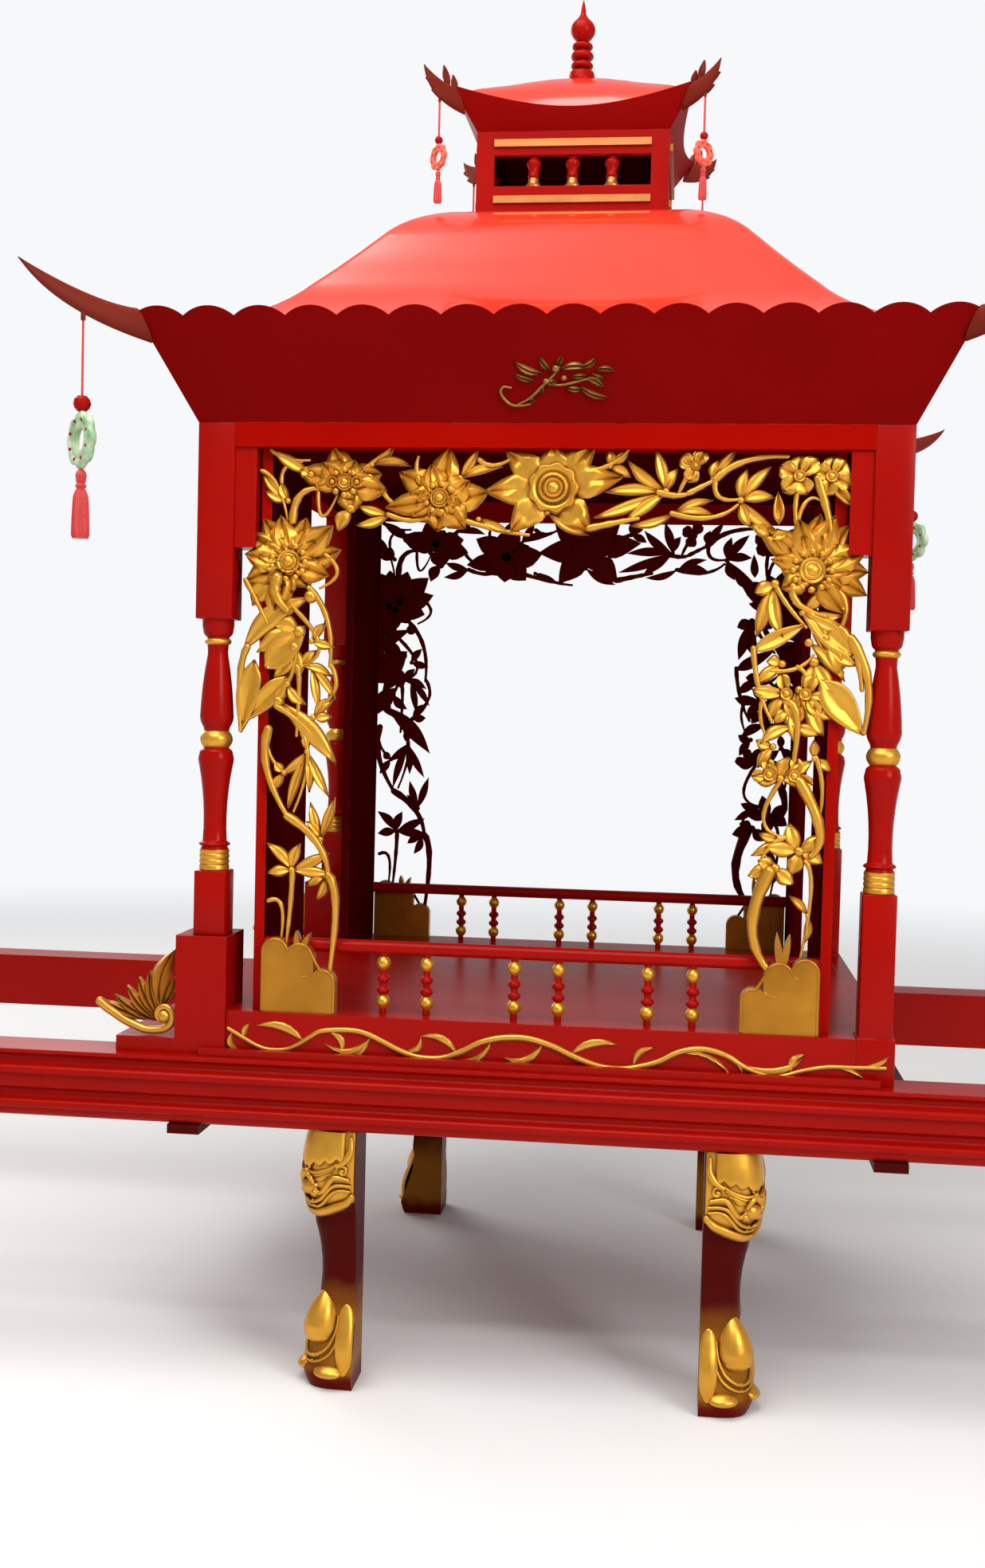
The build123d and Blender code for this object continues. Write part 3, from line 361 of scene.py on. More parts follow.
def soft_edges(tree, radius):
    """Normals rounded at the edges, and how far they turn from the true ones."""
    rounded = add_node(tree, "Bevel", {"Radius": radius}, samples=4)["Normal"]
    true = add_node(tree, "NewGeometry", {})["Normal"]
    return rounded, add_node(tree, "VectorMath", {0: rounded, 1: true}, operation="DOT_PRODUCT")["Value"]


def within(tree, place, *reaches):
    """One where the point lies nearer the middle than its reaches along x and y, else nought."""
    parts = add_node(tree, "SeparateXYZ", {0: place})
    tests = [
        maths(tree, "LESS_THAN", maths(tree, "ABSOLUTE", part), reach) for part, reach in zip(parts, reaches)
    ]
    return maths(tree, "MULTIPLY", *tests)


def lacquer(name, tones, gloss, coat, shine, painted_shade_within=None):
    """Brushed lacquer on wood: cloudy colour, faint brush marks, paler worn edges, and painted shade that
    darkens the inner faces.

    The tones are the bright, the deep and the worn colour.
    """
    bright, deep, worn = tones
    finish, tree, place = start_finish(name)
    colour = mix(tree, noise(tree, place, 5, 5), deep, bright)
    # Painted shade: inside the given reaches the colour turns dark and loses its shine, standing in for the
    # unlit inside
    if painted_shade_within:
        inside = within(tree, place, *painted_shade_within)
        colour = mix(tree, inside, colour, PAINTED_SHADE_DARK)
        shine = grey(tree, inside, shine, 0)
    normal, turned_by = soft_edges(tree, 1.6 * MM)
    wear = ramp(tree, turned_by, (0.80, WHITE), (0.97, BLACK))
    patches = ramp(tree, noise(tree, place, 38, 6), (0.42, BLACK), (0.62, HALF_GREY))
    brushed = noise(tree, place, 30, 3, (0.6, 1.0, 1.0))
    set_shader(tree, {
        "Base Color": mix(tree, maths(tree, "MULTIPLY", wear, patches), colour, worn),
        "Roughness": grey(tree, brushed, gloss - 0.03, gloss + 0.05),
        "Coat Weight": coat, "Coat Roughness": 0.1, "Specular IOR Level": shine,
        "Normal": bump(tree, brushed, 0.06, 0.6 * MM, Normal=normal),
    })
    return finish


def gilding(name, dull, bright, depth):
    """Gold paint over carved wood: painted shade, brown, in hollows of about the given depth, cloudy gold
    elsewhere.
    """
    finish, tree, place = start_finish(name)
    # Painted shade: ambient occlusion turns the gold brown in hollows and grooves
    hollow = add_node(tree, "AmbientOcclusion", {"Distance": depth * MM}, samples=6)["AO"]
    gold = mix(tree, noise(tree, place, 22, 5), dull, bright)
    set_shader(tree, {
        "Base Color": mix(tree, ramp(tree, hollow, (0.24, WHITE), (0.76, BLACK)), gold, PAINTED_SHADE_BROWN),
        "Metallic": 0.75, "Roughness": grey(tree, noise(tree, place, 45, 3), 0.24, 0.46),
        "Normal": bump(tree, noise(tree, place, 140, 3, (1.0, 1.0, 0.4)), 0.3, 1 * MM),
    })
    return finish


def jade(name):
    """Cloudy green stone that lets a little light in."""
    finish, tree, place = start_finish(name)
    clouds = noise(tree, place, 60, 6)
    set_shader(tree, {
        "Base Color": ramp(
            tree, clouds, (0.35, (0.20, 0.38, 0.18)), (0.5, (0.42, 0.58, 0.34)), (0.68, (0.66, 0.72, 0.52))
        ),
        "Roughness": 0.28, "Subsurface Weight": 0.25, "Subsurface Radius": (0.004, 0.006, 0.003),
        "Normal": bump(tree, noise(tree, place, 300, 3), 0.1, 0.4 * MM),
    })
    return finish


def silk(name, bright, deep):
    """Twisted silk: fine strands along the hang, a soft sheen."""
    finish, tree, place = start_finish(name)
    strands = noise(tree, place, 900, 2, (1.0, 1.0, 0.06))
    set_shader(tree, {
        "Base Color": mix(tree, strands, deep, bright), "Roughness": 0.62, "Sheen Weight": 0.5,
        "Normal": bump(tree, strands, 0.5, 0.8 * MM),
    })
    return finish


def leg_lacquer(name):
    """Dark red lacquer that fades to brown gilding over the foot and to red again at the ground."""
    finish, tree, place = start_finish(name)
    height = add_node(tree, "SeparateXYZ", {0: place})["Z"]
    wander = maths(tree, "MULTIPLY_ADD", noise(tree, place, 30, 4), 30 * MM, height)
    set_shader(tree, {
        "Base Color": ramp(
            tree, wander, (0.030, (0.115, 0.003, 0.002)), (0.046, (0.27, 0.100, 0.010)),
            (0.100, (0.27, 0.095, 0.009)), (0.155, (0.065, 0.002, 0.001)),
        ),
        "Roughness": grey(tree, noise(tree, place, 60, 3), 0.26, 0.40), "Specular IOR Level": 0.04,
        "Normal": bump(tree, noise(tree, place, 90, 3), 0.12, 0.6 * MM),
    })
    return finish


RED_TONES = (0.35, 0.004, 0.001), (0.26, 0.002, 0.001), (0.55, 0.07, 0.02)
# Painted shade: a darker red for the lantern's outward-flaring boards, which face down into shade
CAP_TONES = (0.26, 0.002, 0.001), (0.19, 0.001, 0.001), (0.40, 0.03, 0.01)
SHADED_TONES = (0.21, 0.001, 0.001), (0.15, 0.001, 0.001), (0.34, 0.02, 0.01)
DARK_TONES = (0.075, 0.002, 0.001), (0.040, 0.001, 0.001), (0.15, 0.02, 0.01)
# Painted shade: the rear carving's red is darkened, as its back is seen unlit from inside
REAR_TONES = (0.13, 0.004, 0.002), (0.085, 0.002, 0.001), (0.20, 0.02, 0.01)
HORN_TONES = (0.19, 0.022, 0.010), (0.12, 0.008, 0.004), (0.30, 0.08, 0.04)
# Painted light: the roof's lacquer is given a brighter red than the body's, standing in for its top lit from
# above; the worn tone is real wear
ROOF_TONES = (0.84, 0.040, 0.014), (0.68, 0.022, 0.008), (0.85, 0.18, 0.12)
# Reaches inside which the doorway boards and the lantern get painted shade
JAMB_PAINTED_SHADE = (1, front_plane - 3 * MM)
LANTERN_PAINTED_SHADE = (lantern_high.x - 10 * MM, lantern_high.y - 10 * MM)
RED = lacquer("red_lacquer_finish", RED_TONES, 0.24, 0.04, 0.06)
BOARD_RED = lacquer("inner_board_finish", RED_TONES, 0.5, 0, 0.02, JAMB_PAINTED_SHADE)
LINTEL_RED = lacquer("lintel_finish", RED_TONES, 0.5, 0, 0)
LANTERN_RED = lacquer("lantern_finish", RED_TONES, 0.34, 0, 0.05, LANTERN_PAINTED_SHADE)
CAP_RED = lacquer("cap_board_finish", CAP_TONES, 0.4, 0, 0.03)
DEEP_RED = lacquer("shaded_red_finish", SHADED_TONES, 0.5, 0, 0.02)
CEILING_RED = lacquer("ceiling_finish", DARK_TONES, 0.6, 0, 0)
MAROON = lacquer("maroon_finish", DARK_TONES, 0.4, 0, 0.04)
REAR_RED = lacquer("rear_carving_finish", REAR_TONES, 0.5, 0, 0.02)
HORN_RED = lacquer("horn_finish", HORN_TONES, 0.4, 0, 0.08)
ROOF_RED = lacquer("roof_finish", ROOF_TONES, 0.22, 0.7, 0.3)
GOLD = gilding("gilding_finish", (0.52, 0.225, 0.014), (0.82, 0.42, 0.050), 7)
FLAT_GOLD = gilding("flat_gilding_finish", (0.50, 0.22, 0.020), (0.78, 0.41, 0.070), 2)
ROCK_GOLD = gilding("rock_gilding_finish", (0.30, 0.105, 0.004), (0.60, 0.26, 0.020), 2)
PALE_GOLD = gilding("pale_gilding_finish", (0.42, 0.13, 0.025), (0.60, 0.25, 0.075), 3)
# Painted shade: a darker gold for the spray, as the eaves board it sits on faces downward into shade
SHADED_GOLD = gilding("shaded_gilding_finish", (0.17, 0.065, 0.013), (0.42, 0.20, 0.050), 4)
LEG_LACQUER = leg_lacquer("leg_lacquer_finish")
JADE = jade("jade_finish")
SILK = silk("red_silk_finish", (0.70, 0.02, 0.010), (0.36, 0.004, 0.003))
ORANGE_SILK = silk("orange_silk_finish", (0.90, 0.11, 0.03), (0.60, 0.03, 0.01))


def make_piece(name, bm, finish, slot, *nodes, sharp=40, levels=0):
    """Make a piece of a finished shape; it rides on the frame and stands for the nodes named."""
    bmesh.ops.recalc_face_normals(bm, faces=bm.faces)
    for face in bm.faces:
        face.smooth = True
    for edge in bm.edges:
        edge.smooth = edge.calc_face_angle(0) < math.radians(sharp)
    mesh = bpy.data.meshes.new(name)
    bm.to_mesh(mesh)
    bm.free()
    mesh.materials.append(finish)
    piece = bpy.data.objects.new(name, mesh)
    scene.collection.objects.link(piece)
    if levels:
        smoother = piece.modifiers.new("smooth", "SUBSURF")
        smoother.levels = smoother.render_levels = levels
    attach(piece, "root")
    if nodes:
        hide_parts(*nodes)
    return piece


def finish_solids():
    """Finishes for the solids that stay as they are."""
    by_slot = {
        "red_lacquer": RED, "dark_lacquer": MAROON, "roof_lacquer": ROOF_RED, "gilding": GOLD, "jade": JADE,
        "silk": SILK,
    }
    own = {f"eaves_{side}": DEEP_RED for side in ("front", "rear", "left", "right")} | {
        "jamb_boards": BOARD_RED, "lantern": LANTERN_RED, "cap_eaves": CAP_RED, "ceiling": CEILING_RED,
        "lintels": LINTEL_RED, "rocks": ROCK_GOLD, "lantern_mouldings": PALE_GOLD,
    }
    slots = {row["node"]: row["material_slot"] for row in frame["record"]["subparts"]}
    for name, node in frame["nodes"].items():
        node.data.materials.clear()
        node.data.materials.append(own.get(name, by_slot[slots[name]]))


finish_solids()

# Corner posts: square foot and head, turned between, with gilt rings
TURNED_FOOT = 238
POST_SLIM = 3.2
POST_TURNING = swell(
    (0, 18, 0), (2, 18.6, 0), (28, 18, 0), (31, 16.4, 0), (37.5, 16.4, 4), (39, 15.6, 0), (138, 22, -3.2),
    (152, 21.5, 1.2), (159, 17, 1.5), (161, 15, 0), (176, 15, 0), (186, 17, 0), (204, 21.5, 1.8),
    (276, 14, 1.2), (290, 13.5, -0.6), (303, 14.5, 0), (309, 19, 0.8), (318, 20.5, 0), (326, 20.5, 0),
)
POST_GILDING = (
    # outlines of the gilt parts: the grooved band, the ball and the thin ring
    swell(
        (1, 19.4, 0), (6, 19.4, 0), (8, 18.2, 0), (10, 19.4, 0), (13, 19.4, 0), (15, 18.2, 0), (17, 19.4, 0),
        (20, 19.4, 0), (22, 18.2, 0), (24, 19.4, 0), (27, 19.0, 0),
    ),
    swell((159, 15.5, 0), (182, 15.5, 5.6), steps=10),
    swell((293, 14, 0), (302, 14, 3.4)),
)


def make_posts():
    slim = mm(POST_SLIM, POST_SLIM, 0)
    for corner in ("front_left", "rear_left", "front_right", "rear_right"):
        low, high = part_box(f"post_{corner}")
        middle = (low + high) / 2
        turned_foot = Vector((middle.x, middle.y, rail_high.z + TURNED_FOOT * MM))
        turned_head = turned_foot.z + POST_TURNING[-1][0] * MM
        bm = bmesh.new()
        add_block(bm, low, (high.x, high.y, floor_top + 1 * MM))
        add_block(bm, low + slim, Vector((high.x, high.y, turned_foot.z)) - slim)
        add_block(bm, (low.x, low.y, turned_head), high)
        add_turned(bm, turned_foot, POST_TURNING)
        make_piece(f"lacquered_post_{corner}", bm, RED, "red_lacquer", f"post_{corner}")
        bm = bmesh.new()
        for outline in POST_GILDING:
            add_turned(bm, turned_foot, outline, sides=32)
        make_piece(f"gilt_rings_{corner}", bm, GOLD, "gilding", f"post_{corner}")


make_posts()

# Balustrades: a red handrail on pairs of turned balusters with gilt balls
BALUSTER_PITCH = 57
BALUSTER_RED = swell(
    (0, 5, 0), (6, 4.5, 0), (25, 4.5, 0), (27, 7, 0), (34, 7, 1.6), (36, 4.5, 0), (40, 4.5, 0), (42, 7, 0),
    (49, 7, 1.6), (51, 4.5, 0), (58, 4.5, 0), (76, 4.5, 0), (84, 5, 0), steps=4,
)
BALUSTER_GILT = (
    swell((6, 4, 0), (25, 4, 5.4), steps=8),
    swell((57, 4, 0), (75, 4, 5.2), steps=8),
)


def make_balustrades():
    for depth in ("front", "rear"):
        node = f"balustrade_{depth}"
        low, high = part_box(node)
        centre_y = (low.y + high.y) / 2
        radius = (high.y - low.y) / 2
        red, gilt = bmesh.new(), bmesh.new()
        rail = swell((0, radius / MM, 0), (2 * high.x / MM, radius / MM, 0))
        add_turned(red, (low.x, centre_y, high.z - radius), rail, (1, 0, 0), 24)
        for pair in (-1, 0, 1):
            for step in (-0.5, 0.5):
                foot = (BALUSTER_PITCH * MM * (3 * pair + step), centre_y, floor_top)
                add_turned(red, foot, BALUSTER_RED, sides=20)
                for outline in BALUSTER_GILT:
                    add_turned(gilt, foot, outline, sides=20)
        make_piece(f"handrail_{depth}", red, RED, "red_lacquer", node)
        make_piece(f"gilt_balls_{depth}", gilt, GOLD, "gilding", node)


make_balustrades()

# Carved fronts. The drawing is seen from the front: x across, height above the ground, millimetres
STEMS = (
    # start, a point on the way, end, width
    ((-327, 1115), (-319, 1147), (-295, 1157), 10), ((-295, 1157), (-289, 1122), (-270, 1149), 5),
    ((-357, 1206), (-337, 1195), (-307, 1193), 6), ((-343, 1164), (-338, 1184), (-317, 1191), 5),
    ((-370, 1179), (-349, 1161), (-334, 1116), 6), ((-237, 1181), (-221, 1194), (-201, 1210), 6),
    ((-211, 1158), (-205, 1146), (-191, 1136), 7), ((-203, 1125), (-168, 1118), (-138, 1130), 7),
    ((-163, 1165), (-168, 1182), (-166, 1198), 7), ((-88, 1195), (-71, 1188), (-50, 1195), 7),
    ((-112, 1120), (-61, 1107), (-23, 1101), 7), ((51, 1182), (78, 1190), (101, 1210), 7),
    ((53, 1110), (84, 1117), (114, 1123), 9), ((139, 1156), (162, 1152), (178, 1156), 8),
    ((181, 1184), (171, 1170), (163, 1152), 7), ((176, 1155), (195, 1165), (209, 1172), 7),
    ((209, 1172), (244, 1195), (297, 1201), 9), ((209, 1172), (214, 1151), (239, 1148), 7),
    ((156, 1130), (203, 1125), (237, 1141), 7), ((312, 1167), (308, 1135), (314, 1105), 7),
    ((334, 1174), (346, 1137), (353, 1105), 11), ((310, 1115), (321, 1146), (338, 1148), 6),
    ((-345, 1042), (-347, 1022), (-332, 1001), 17), ((-304, 1030), (-279, 988), (-275, 930), 8),
    ((-284, 1073), (-268, 1050), (-290, 1030), 6), ((-324, 1004), (-290, 957), (-313, 929), 6),
    ((-318, 929), (-315, 905), (-317, 840), 7), ((-384, 953), (-393, 915), (-391, 845), 9),
    ((-354, 848), (-355, 796), (-327, 736), 11), ((-327, 736), (-287, 703), (-271, 661), 11),
    ((-271, 661), (-261, 619), (-268, 530), 11), ((-319, 666), (-321, 617), (-326, 563), 7),
    ((-350, 625), (-332, 617), (-334, 563), 6), ((-310, 843), (-302, 803), (-319, 742), 6),
    ((288, 1040), (303, 1017), (326, 991), 7), ((286, 936), (316, 940), (336, 957), 6),
    ((317, 942), (328, 929), (326, 906), 6), ((262, 964), (270, 915), (287, 874), 7),
    ((304, 899), (318, 879), (316, 825), 11), ((381, 978), (403, 925), (400, 862), 12),
    ((323, 800), (350, 742), (341, 707), 14), ((290, 686), (271, 615), (294, 560), 16),
    ((300, 799), (281, 750), (308, 729), 6), ((308, 729), (284, 710), (280, 682), 6),
    ((334, 700), (342, 657), (328, 560), 6), ((308, 1042), (316, 1019), (349, 1005), 10),
    ((347, 1046), (372, 1024), (368, 990), 9), ((368, 990), (387, 960), (396, 915), 10),
    ((288, 912), (273, 889), (282, 851), 6), ((309, 890), (318, 868), (316, 835), 7),
    ((343, 830), (352, 790), (347, 746), 6), ((-333, 906), (-322, 930), (-319, 974), 6),
    ((-345, 878), (-316, 859), (-292, 836), 8), ((-356, 842), (-352, 815), (-331, 790), 6),
    ((-273, 931), (-268, 900), (-292, 876), 6), ((-388, 1039), (-372, 1010), (-359, 985), 7),
)
SPRAYS = (
    # root, width, tips
    ((-305, 1175), 15, ((-357, 1206), (-321, 1182))),
    ((-334, 1141), 12, ((-370, 1180), (-365, 1154), (-343, 1165))),
    ((-252, 1132), 18, ((-269, 1103), (-251, 1149))), ((-203, 1125), 12, ((-246, 1111), (-244, 1136))),
    ((-226, 1188), 11, ((-175, 1186), (-199, 1208))), ((-112, 1172), 12, ((-90, 1207), (-58, 1187))),
    ((-87, 1120), 11, ((-46, 1103), (-66, 1107))), ((0, 1130), 12, ((-38, 1106), (53, 1102))),
    ((77, 1188), 12, ((77, 1210), (104, 1175), (101, 1210))),
    ((148, 1157), 14, ((99, 1196), (134, 1210), (162, 1186), (70, 1156), (56, 1123), (98, 1119))),
    ((158, 1130), 11, ((103, 1115), (207, 1147), (210, 1127))), ((206, 1172), 12, ((234, 1210), (212, 1197))),
    ((241, 1147), 14, ((248, 1186), (278, 1190), (283, 1151), (255, 1113), (285, 1112))),
    ((278, 1099), 14, ((254, 1118), (301, 1107))), ((-302, 1019), 27, ((-392, 946),)),
    ((-313, 930), 12, ((-272, 916), (-293, 951))), ((-300, 930), 11, ((-289, 874), (-267, 887))),
    ((-342, 884), 23, ((-264, 804),)),
    ((-303, 820), 12, ((-337, 789), (-328, 742), (-299, 767), (-273, 762), (-303, 848))),
    ((-283, 707), 12, ((-298, 755), (-265, 762), (-303, 730))),
    ((-320, 666), 14, ((-354, 700), (-310, 701), (-270, 690), (-353, 661), (-268, 663))),
    ((-275, 660), 12, ((-288, 627), (-300, 645))), ((286, 1044), 18, ((261, 1033), (265, 977), (298, 978))),
    ((330, 972), 17, ((376, 924),)), ((321, 1009), 14, ((343, 1040), (372, 1008))),
    ((304, 908), 15, ((260, 913), (284, 874), (316, 852))), ((327, 906), 14, ((349, 858), (362, 900))),
    ((314, 868), 15, ((273, 845), (325, 895), (347, 858))),
    ((300, 802), 17, ((277, 821), (265, 804), (310, 830), (338, 796), (339, 826))),
    ((326, 712), 19, ((312, 748), (353, 734), (356, 697), (316, 682), (284, 716))),
    ((297, 690), 19, ((263, 679), (275, 699), (321, 670))), ((339, 632), 10, ((336, 597), (315, 656))),
    ((332, 1006), 18, ((372, 992), (349, 960))), ((349, 978), 20, ((392, 944), (366, 930))),
    ((337, 948), 19, ((361, 910), (332, 902))), ((335, 896), 18, ((352, 856), (366, 880))),
    ((320, 913), 17, ((340, 880), (308, 878))), ((298, 945), 15, ((265, 920), (278, 948))),
    ((309, 890), 15, ((318, 846), (290, 870))), ((290, 842), 13, ((271, 814), (268, 850))),
    ((341, 828), 12, ((362, 812), (340, 852))), ((301, 727), 12, ((266, 704), (276, 733))),
    ((-352, 1040), 26, ((-352, 993), (-380, 1006), (-330, 1006))),
    ((-316, 974), 25, ((-372, 946), (-350, 982))), ((-322, 954), 20, ((-350, 912), (-316, 915))),
    ((-296, 864), 13, ((-269, 890), (-272, 866))), ((-331, 906), 14, ((-306, 880), (-352, 884))),
    ((-333, 792), 12, ((-352, 766), (-345, 806))), ((-300, 962), 12, ((-270, 955), (-282, 986))),
)
PETALS = (
    # root, blunt tip, width
    ((-308, 982), (-360, 925), 36), ((-391, 842), (-375, 937), 30), ((-389, 855), (-329, 917), 26),
    ((327, 996), (261, 960), 19), ((318, 1012), (386, 956), 28), ((400, 858), (345, 927), 38),
    ((346, 1172), (381, 1141), 13), ((286, 1158), (289, 1118), 13), ((184, 1189), (165, 1198), 15),
    ((184, 1189), (193, 1207), 15), ((184, 1189), (173, 1171), 15),
)
FLOWERS = (
    # middle, radius of the eye, width of a petal, tips of the petals
    ((-260, 1165), 19, 25, ((-322, 1180), (-291, 1189), (-276, 1211), (-247, 1193), (-213, 1177), (-205,
        1155), (-250, 1127))),
    ((-137, 1146), 21, 27, ((-191, 1178), (-149, 1188), (-126, 1211), (-99, 1168), (-75, 1155), (-103,
        1108), (-140, 1104))), ((-137, 1146), 21, 22, ((-172, 1118), (-207, 1133))),
    ((7, 1160), 31, 41, ((-55, 1207), (6, 1216), (59, 1212), (94, 1174), (56, 1106), (-46, 1103), (-82,
        1155))),
    ((-331, 1063), 26, 27, ((-366, 1118), (-342, 1122), (-310, 1120), (-274, 1110), (-386, 1098), (-389,
        1072))),
    ((-331, 1063), 26, 24, ((-389, 1036), (-348, 1000), (-304, 1030), (-279, 1046), (-264, 1080))),
    ((331, 1061), 28, 27, ((279, 1111), (312, 1124), (339, 1132), (357, 1130), (375, 1118), (397, 1090),
        (400, 1060))),
    ((331, 1061), 28, 24, ((399, 1031), (372, 1008), (289, 1072), (294, 1038), (263, 1113))),
)
BLOSSOMS = (
    # middle, radius of the disc, width of a round petal, tips of the petals
    ((312, 1177), 8, 22, ((312, 1203), (287, 1189), (292, 1158), (334, 1199), (322, 1155))),
    ((351, 1177), 8, 22, ((352, 1202), (379, 1167), (370, 1196), (331, 1187), (345, 1153))),
    ((184, 1189), 6, 19, ((164, 1199), (194, 1209), (176, 1169))),
    ((304, 908), 8, 16, ((262, 911), (314, 879), (297, 934))), ((327, 908), 8, 16, ((347, 880), (338, 933))),
    ((286, 807), 8, 15, ((264, 804), (283, 828))), ((317, 806), 8, 15, ((341, 796), (320, 830))),
)
CUPS = (
    # small cups in the middle of the blossoms: across, height, radius
    (-276, 1165, 7), (-261, 1168, 7), (-244, 1165, 7), (-156, 1149, 7), (-137, 1147, 8), (-120, 1142, 7),
    (-341, 1059, 6), (-322, 1066, 6), (-329, 1052, 6),
)
STEM_POINTS = 11
LARGEST_EYE = 30
# For the petals of a flower: the share of the eye that their roots leave free, their share of the given
# width, fullness, skew, groove and the step between neighbours
WIDE_PETALS = 0.62, 1.0, 0.95, 0.6, 0.6, 1.5
LONG_PETALS = 0.25, 1.38, 1.0, 0.95, 0.7, 3.5


def draw_stems(bm):
    for start, bend, finish, width in STEMS:
        height = 4 + 0.35 * width
        course = [Vector((*spot, height)) for spot in arc_points(start, bend, finish, STEM_POINTS)]
        widths = [
            width * (1.05 - 0.6 * (i / STEM_POINTS) ** 1.6) * (1.12 if i % 3 == 1 else 0.96)
            for i in range(STEM_POINTS)
        ]
        add_rod(bm, course, widths)


def draw_leaves(bm):
    for root, width, tips in SPRAYS:
        fan = bmesh.new()
        for tip in tips:
            add_leaf(
                fan, root, tip, 1.2 * width, random.uniform(9, 12), bend=random.uniform(-0.12, 0.12),
                groove=0.5, lift=random.uniform(-2, 3), floor=random.uniform(0.1, 1.6),
            )
        add_ball(fan, (*root, 6), Vector((1, 1, 0.8)) * (0.36 * width), 6, 10)
        merge(bm, fan)


def draw_petals(bm):
    for number, (root, tip, width) in enumerate(PETALS):
        add_leaf(bm, root, tip, 1.15 * width, 15, fullness=0.55, skew=1.5, cup=0.65, floor=0.2 * number)


def flower_heart(bm, middle, *rings, sides=24):
    """The round middle of a blossom: rings of height, radius and bulge."""
    outline = swell(*rings, (rings[-1][0] + 0.6, 0, 0), steps=4)
    add_turned(bm, mm(*middle, 0), outline, sides=sides)


def fluted_heart(bm, centre, eye):
    """The wide middle of the largest blossom: a scalloped collar around a turned spiral of rings."""
    collar = bmesh.new()
    flower_heart(
        collar, centre, (0, eye, 0), (10.5, eye, 0), (14, 0.93 * eye, 0.4), (14, 0.80 * eye, 0.3),
        (9.5, 0.70 * eye, 0), (9.5, 0.61 * eye, 0), (15, 0.59 * eye, 0.4), (15.6, 0.50 * eye, 0.3),
        (12.6, 0.43 * eye, 0), (15.4, 0.34 * eye, 0.4), (13, 0.25 * eye, 0), (16, 0.12 * eye, 0.5), sides=54,
    )
    for v in collar.verts:
        away = v.co.to_2d() - centre * MM
        if away.length > 0.85 * eye * MM:
            away *= 1 + 0.06 * math.cos(9 * math.atan2(away.y, away.x))
            v.co = Vector((*(centre * MM + away), v.co.z))
    merge(bm, collar)


def starred_heart(bm, centre, eye):
    """The middle of a blossom: a ringed disc among round lobes."""
    disc = 0.6 * eye
    flower_heart(
        bm, centre, (0, disc, 0), (12, disc, 0), (14.5, 0.88 * disc, 0.4), (13, 0.72 * disc, 0),
        (15, 0.6 * disc, 0.4), (14, 0.44 * disc, 0), (16.4, 0.24 * disc, 0.5),
    )
    lobes = max(round(0.42 * eye), 6)
    size = 2.1 * eye / lobes
    for k in range(lobes):
        angle = math.tau * k / lobes
        lobe = centre + 0.84 * eye * Vector((math.cos(angle), math.sin(angle)))
        add_ball(bm, (*lobe, 9), (size, size, 5.5), 8, 12)


def draw_flowers(bm):
    last_middle = None
    for middle, eye, width, tips in FLOWERS:
        bloom = bmesh.new()
        centre = Vector(middle)
        largest = eye > LARGEST_EYE
        free, share, fullness, skew, groove, rise = WIDE_PETALS if largest else LONG_PETALS
        for number, tip in enumerate(tips):
            out = Vector(tip) - centre
            root = centre + out.normalized() * free * eye
            floor = 0.2 + 0.15 * number + number % 2 * rise
            add_leaf(
                bloom, root, tip, share * width, random.uniform(9, 10), bend=random.uniform(-0.06, 0.06),
                fullness=fullness, skew=skew, groove=groove, lift=3, floor=floor,
            )
            if not largest:
                inner = centre + Matrix.Rotation(0.4, 2) @ out * 0.62
                add_leaf(
                    bloom, root, inner, 0.85 * width, 6, fullness=0.95, groove=0.6, lift=3,
                    floor=6 + 0.1 * number,
                )
        if middle != last_middle:
            (fluted_heart if largest else starred_heart)(bloom, centre, eye)
        last_middle = middle
        merge(bm, bloom)
    for middle, disc, width, tips in BLOSSOMS:
        bloom = bmesh.new()
        for number, tip in enumerate(tips):
            add_leaf(
                bloom, middle, tip, 1.05 * width, 13, fullness=0.5, skew=1.5, cup=0.45, floor=0.2 + 0.3 * number
            )
        flower_heart(
            bloom, middle, (0, disc, 0), (11, disc, 0), (14, 0.85 * disc, 0.3), (13, 0.6 * disc, 0),
            (15.5, 0.3 * disc, 0.4), sides=20,
        )
        merge(bm, bloom)
    for across, height, radius in CUPS:
        flower_heart(
            bm, (across, height), (0, radius, 0), (14, 1.1 * radius, 0.4), (15.6, 0.9 * radius, 0),
            (12, 0.55 * radius, 0), sides=16,
        )


def make_carved_fronts():
    parts = (
        ("stems", draw_stems, 0), ("leaves", draw_leaves, 1), ("petals", draw_petals, 1),
        ("flowers", draw_flowers, 0),
    )
    for side, depth, finish, slot in ((-1, "front", GOLD, "gilding"), (1, "rear", REAR_RED, "dark_lacquer")):
        for part, draw, levels in parts:
            random.seed(11)
            bm = bmesh.new()
            draw(bm)
            set_upright(bm, side, front_plane)
            make_piece(f"carved_{part}_{depth}", bm, finish, slot, f"openwork_{depth}", sharp=60, levels=levels)


make_carved_fronts()

# Finial, turned in red lacquer
FINIAL = swell(
    (0, 19, 0), (18, 18, 1.0), (20, 12, 0), (23, 8, 0), (24, 14, 0), (32, 14, 2.5), (33, 8, 0), (36, 8, 0),
    (37, 14, 0), (47, 14, 2.8), (48, 8, 0), (51, 8, 0), (52, 13, 0), (60, 13, 2.4), (61, 7, 0), (64, 9, 0),
    (96, 9, 9.5), (104, 4, -0.5), (124, 0.4, 0.6),
)


def make_finial():
    bm = bmesh.new()
    add_turned(bm, (0, 0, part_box("finial")[0].z), FINIAL)
    make_piece("turned_finial", bm, RED, "red_lacquer", "finial")


make_finial()

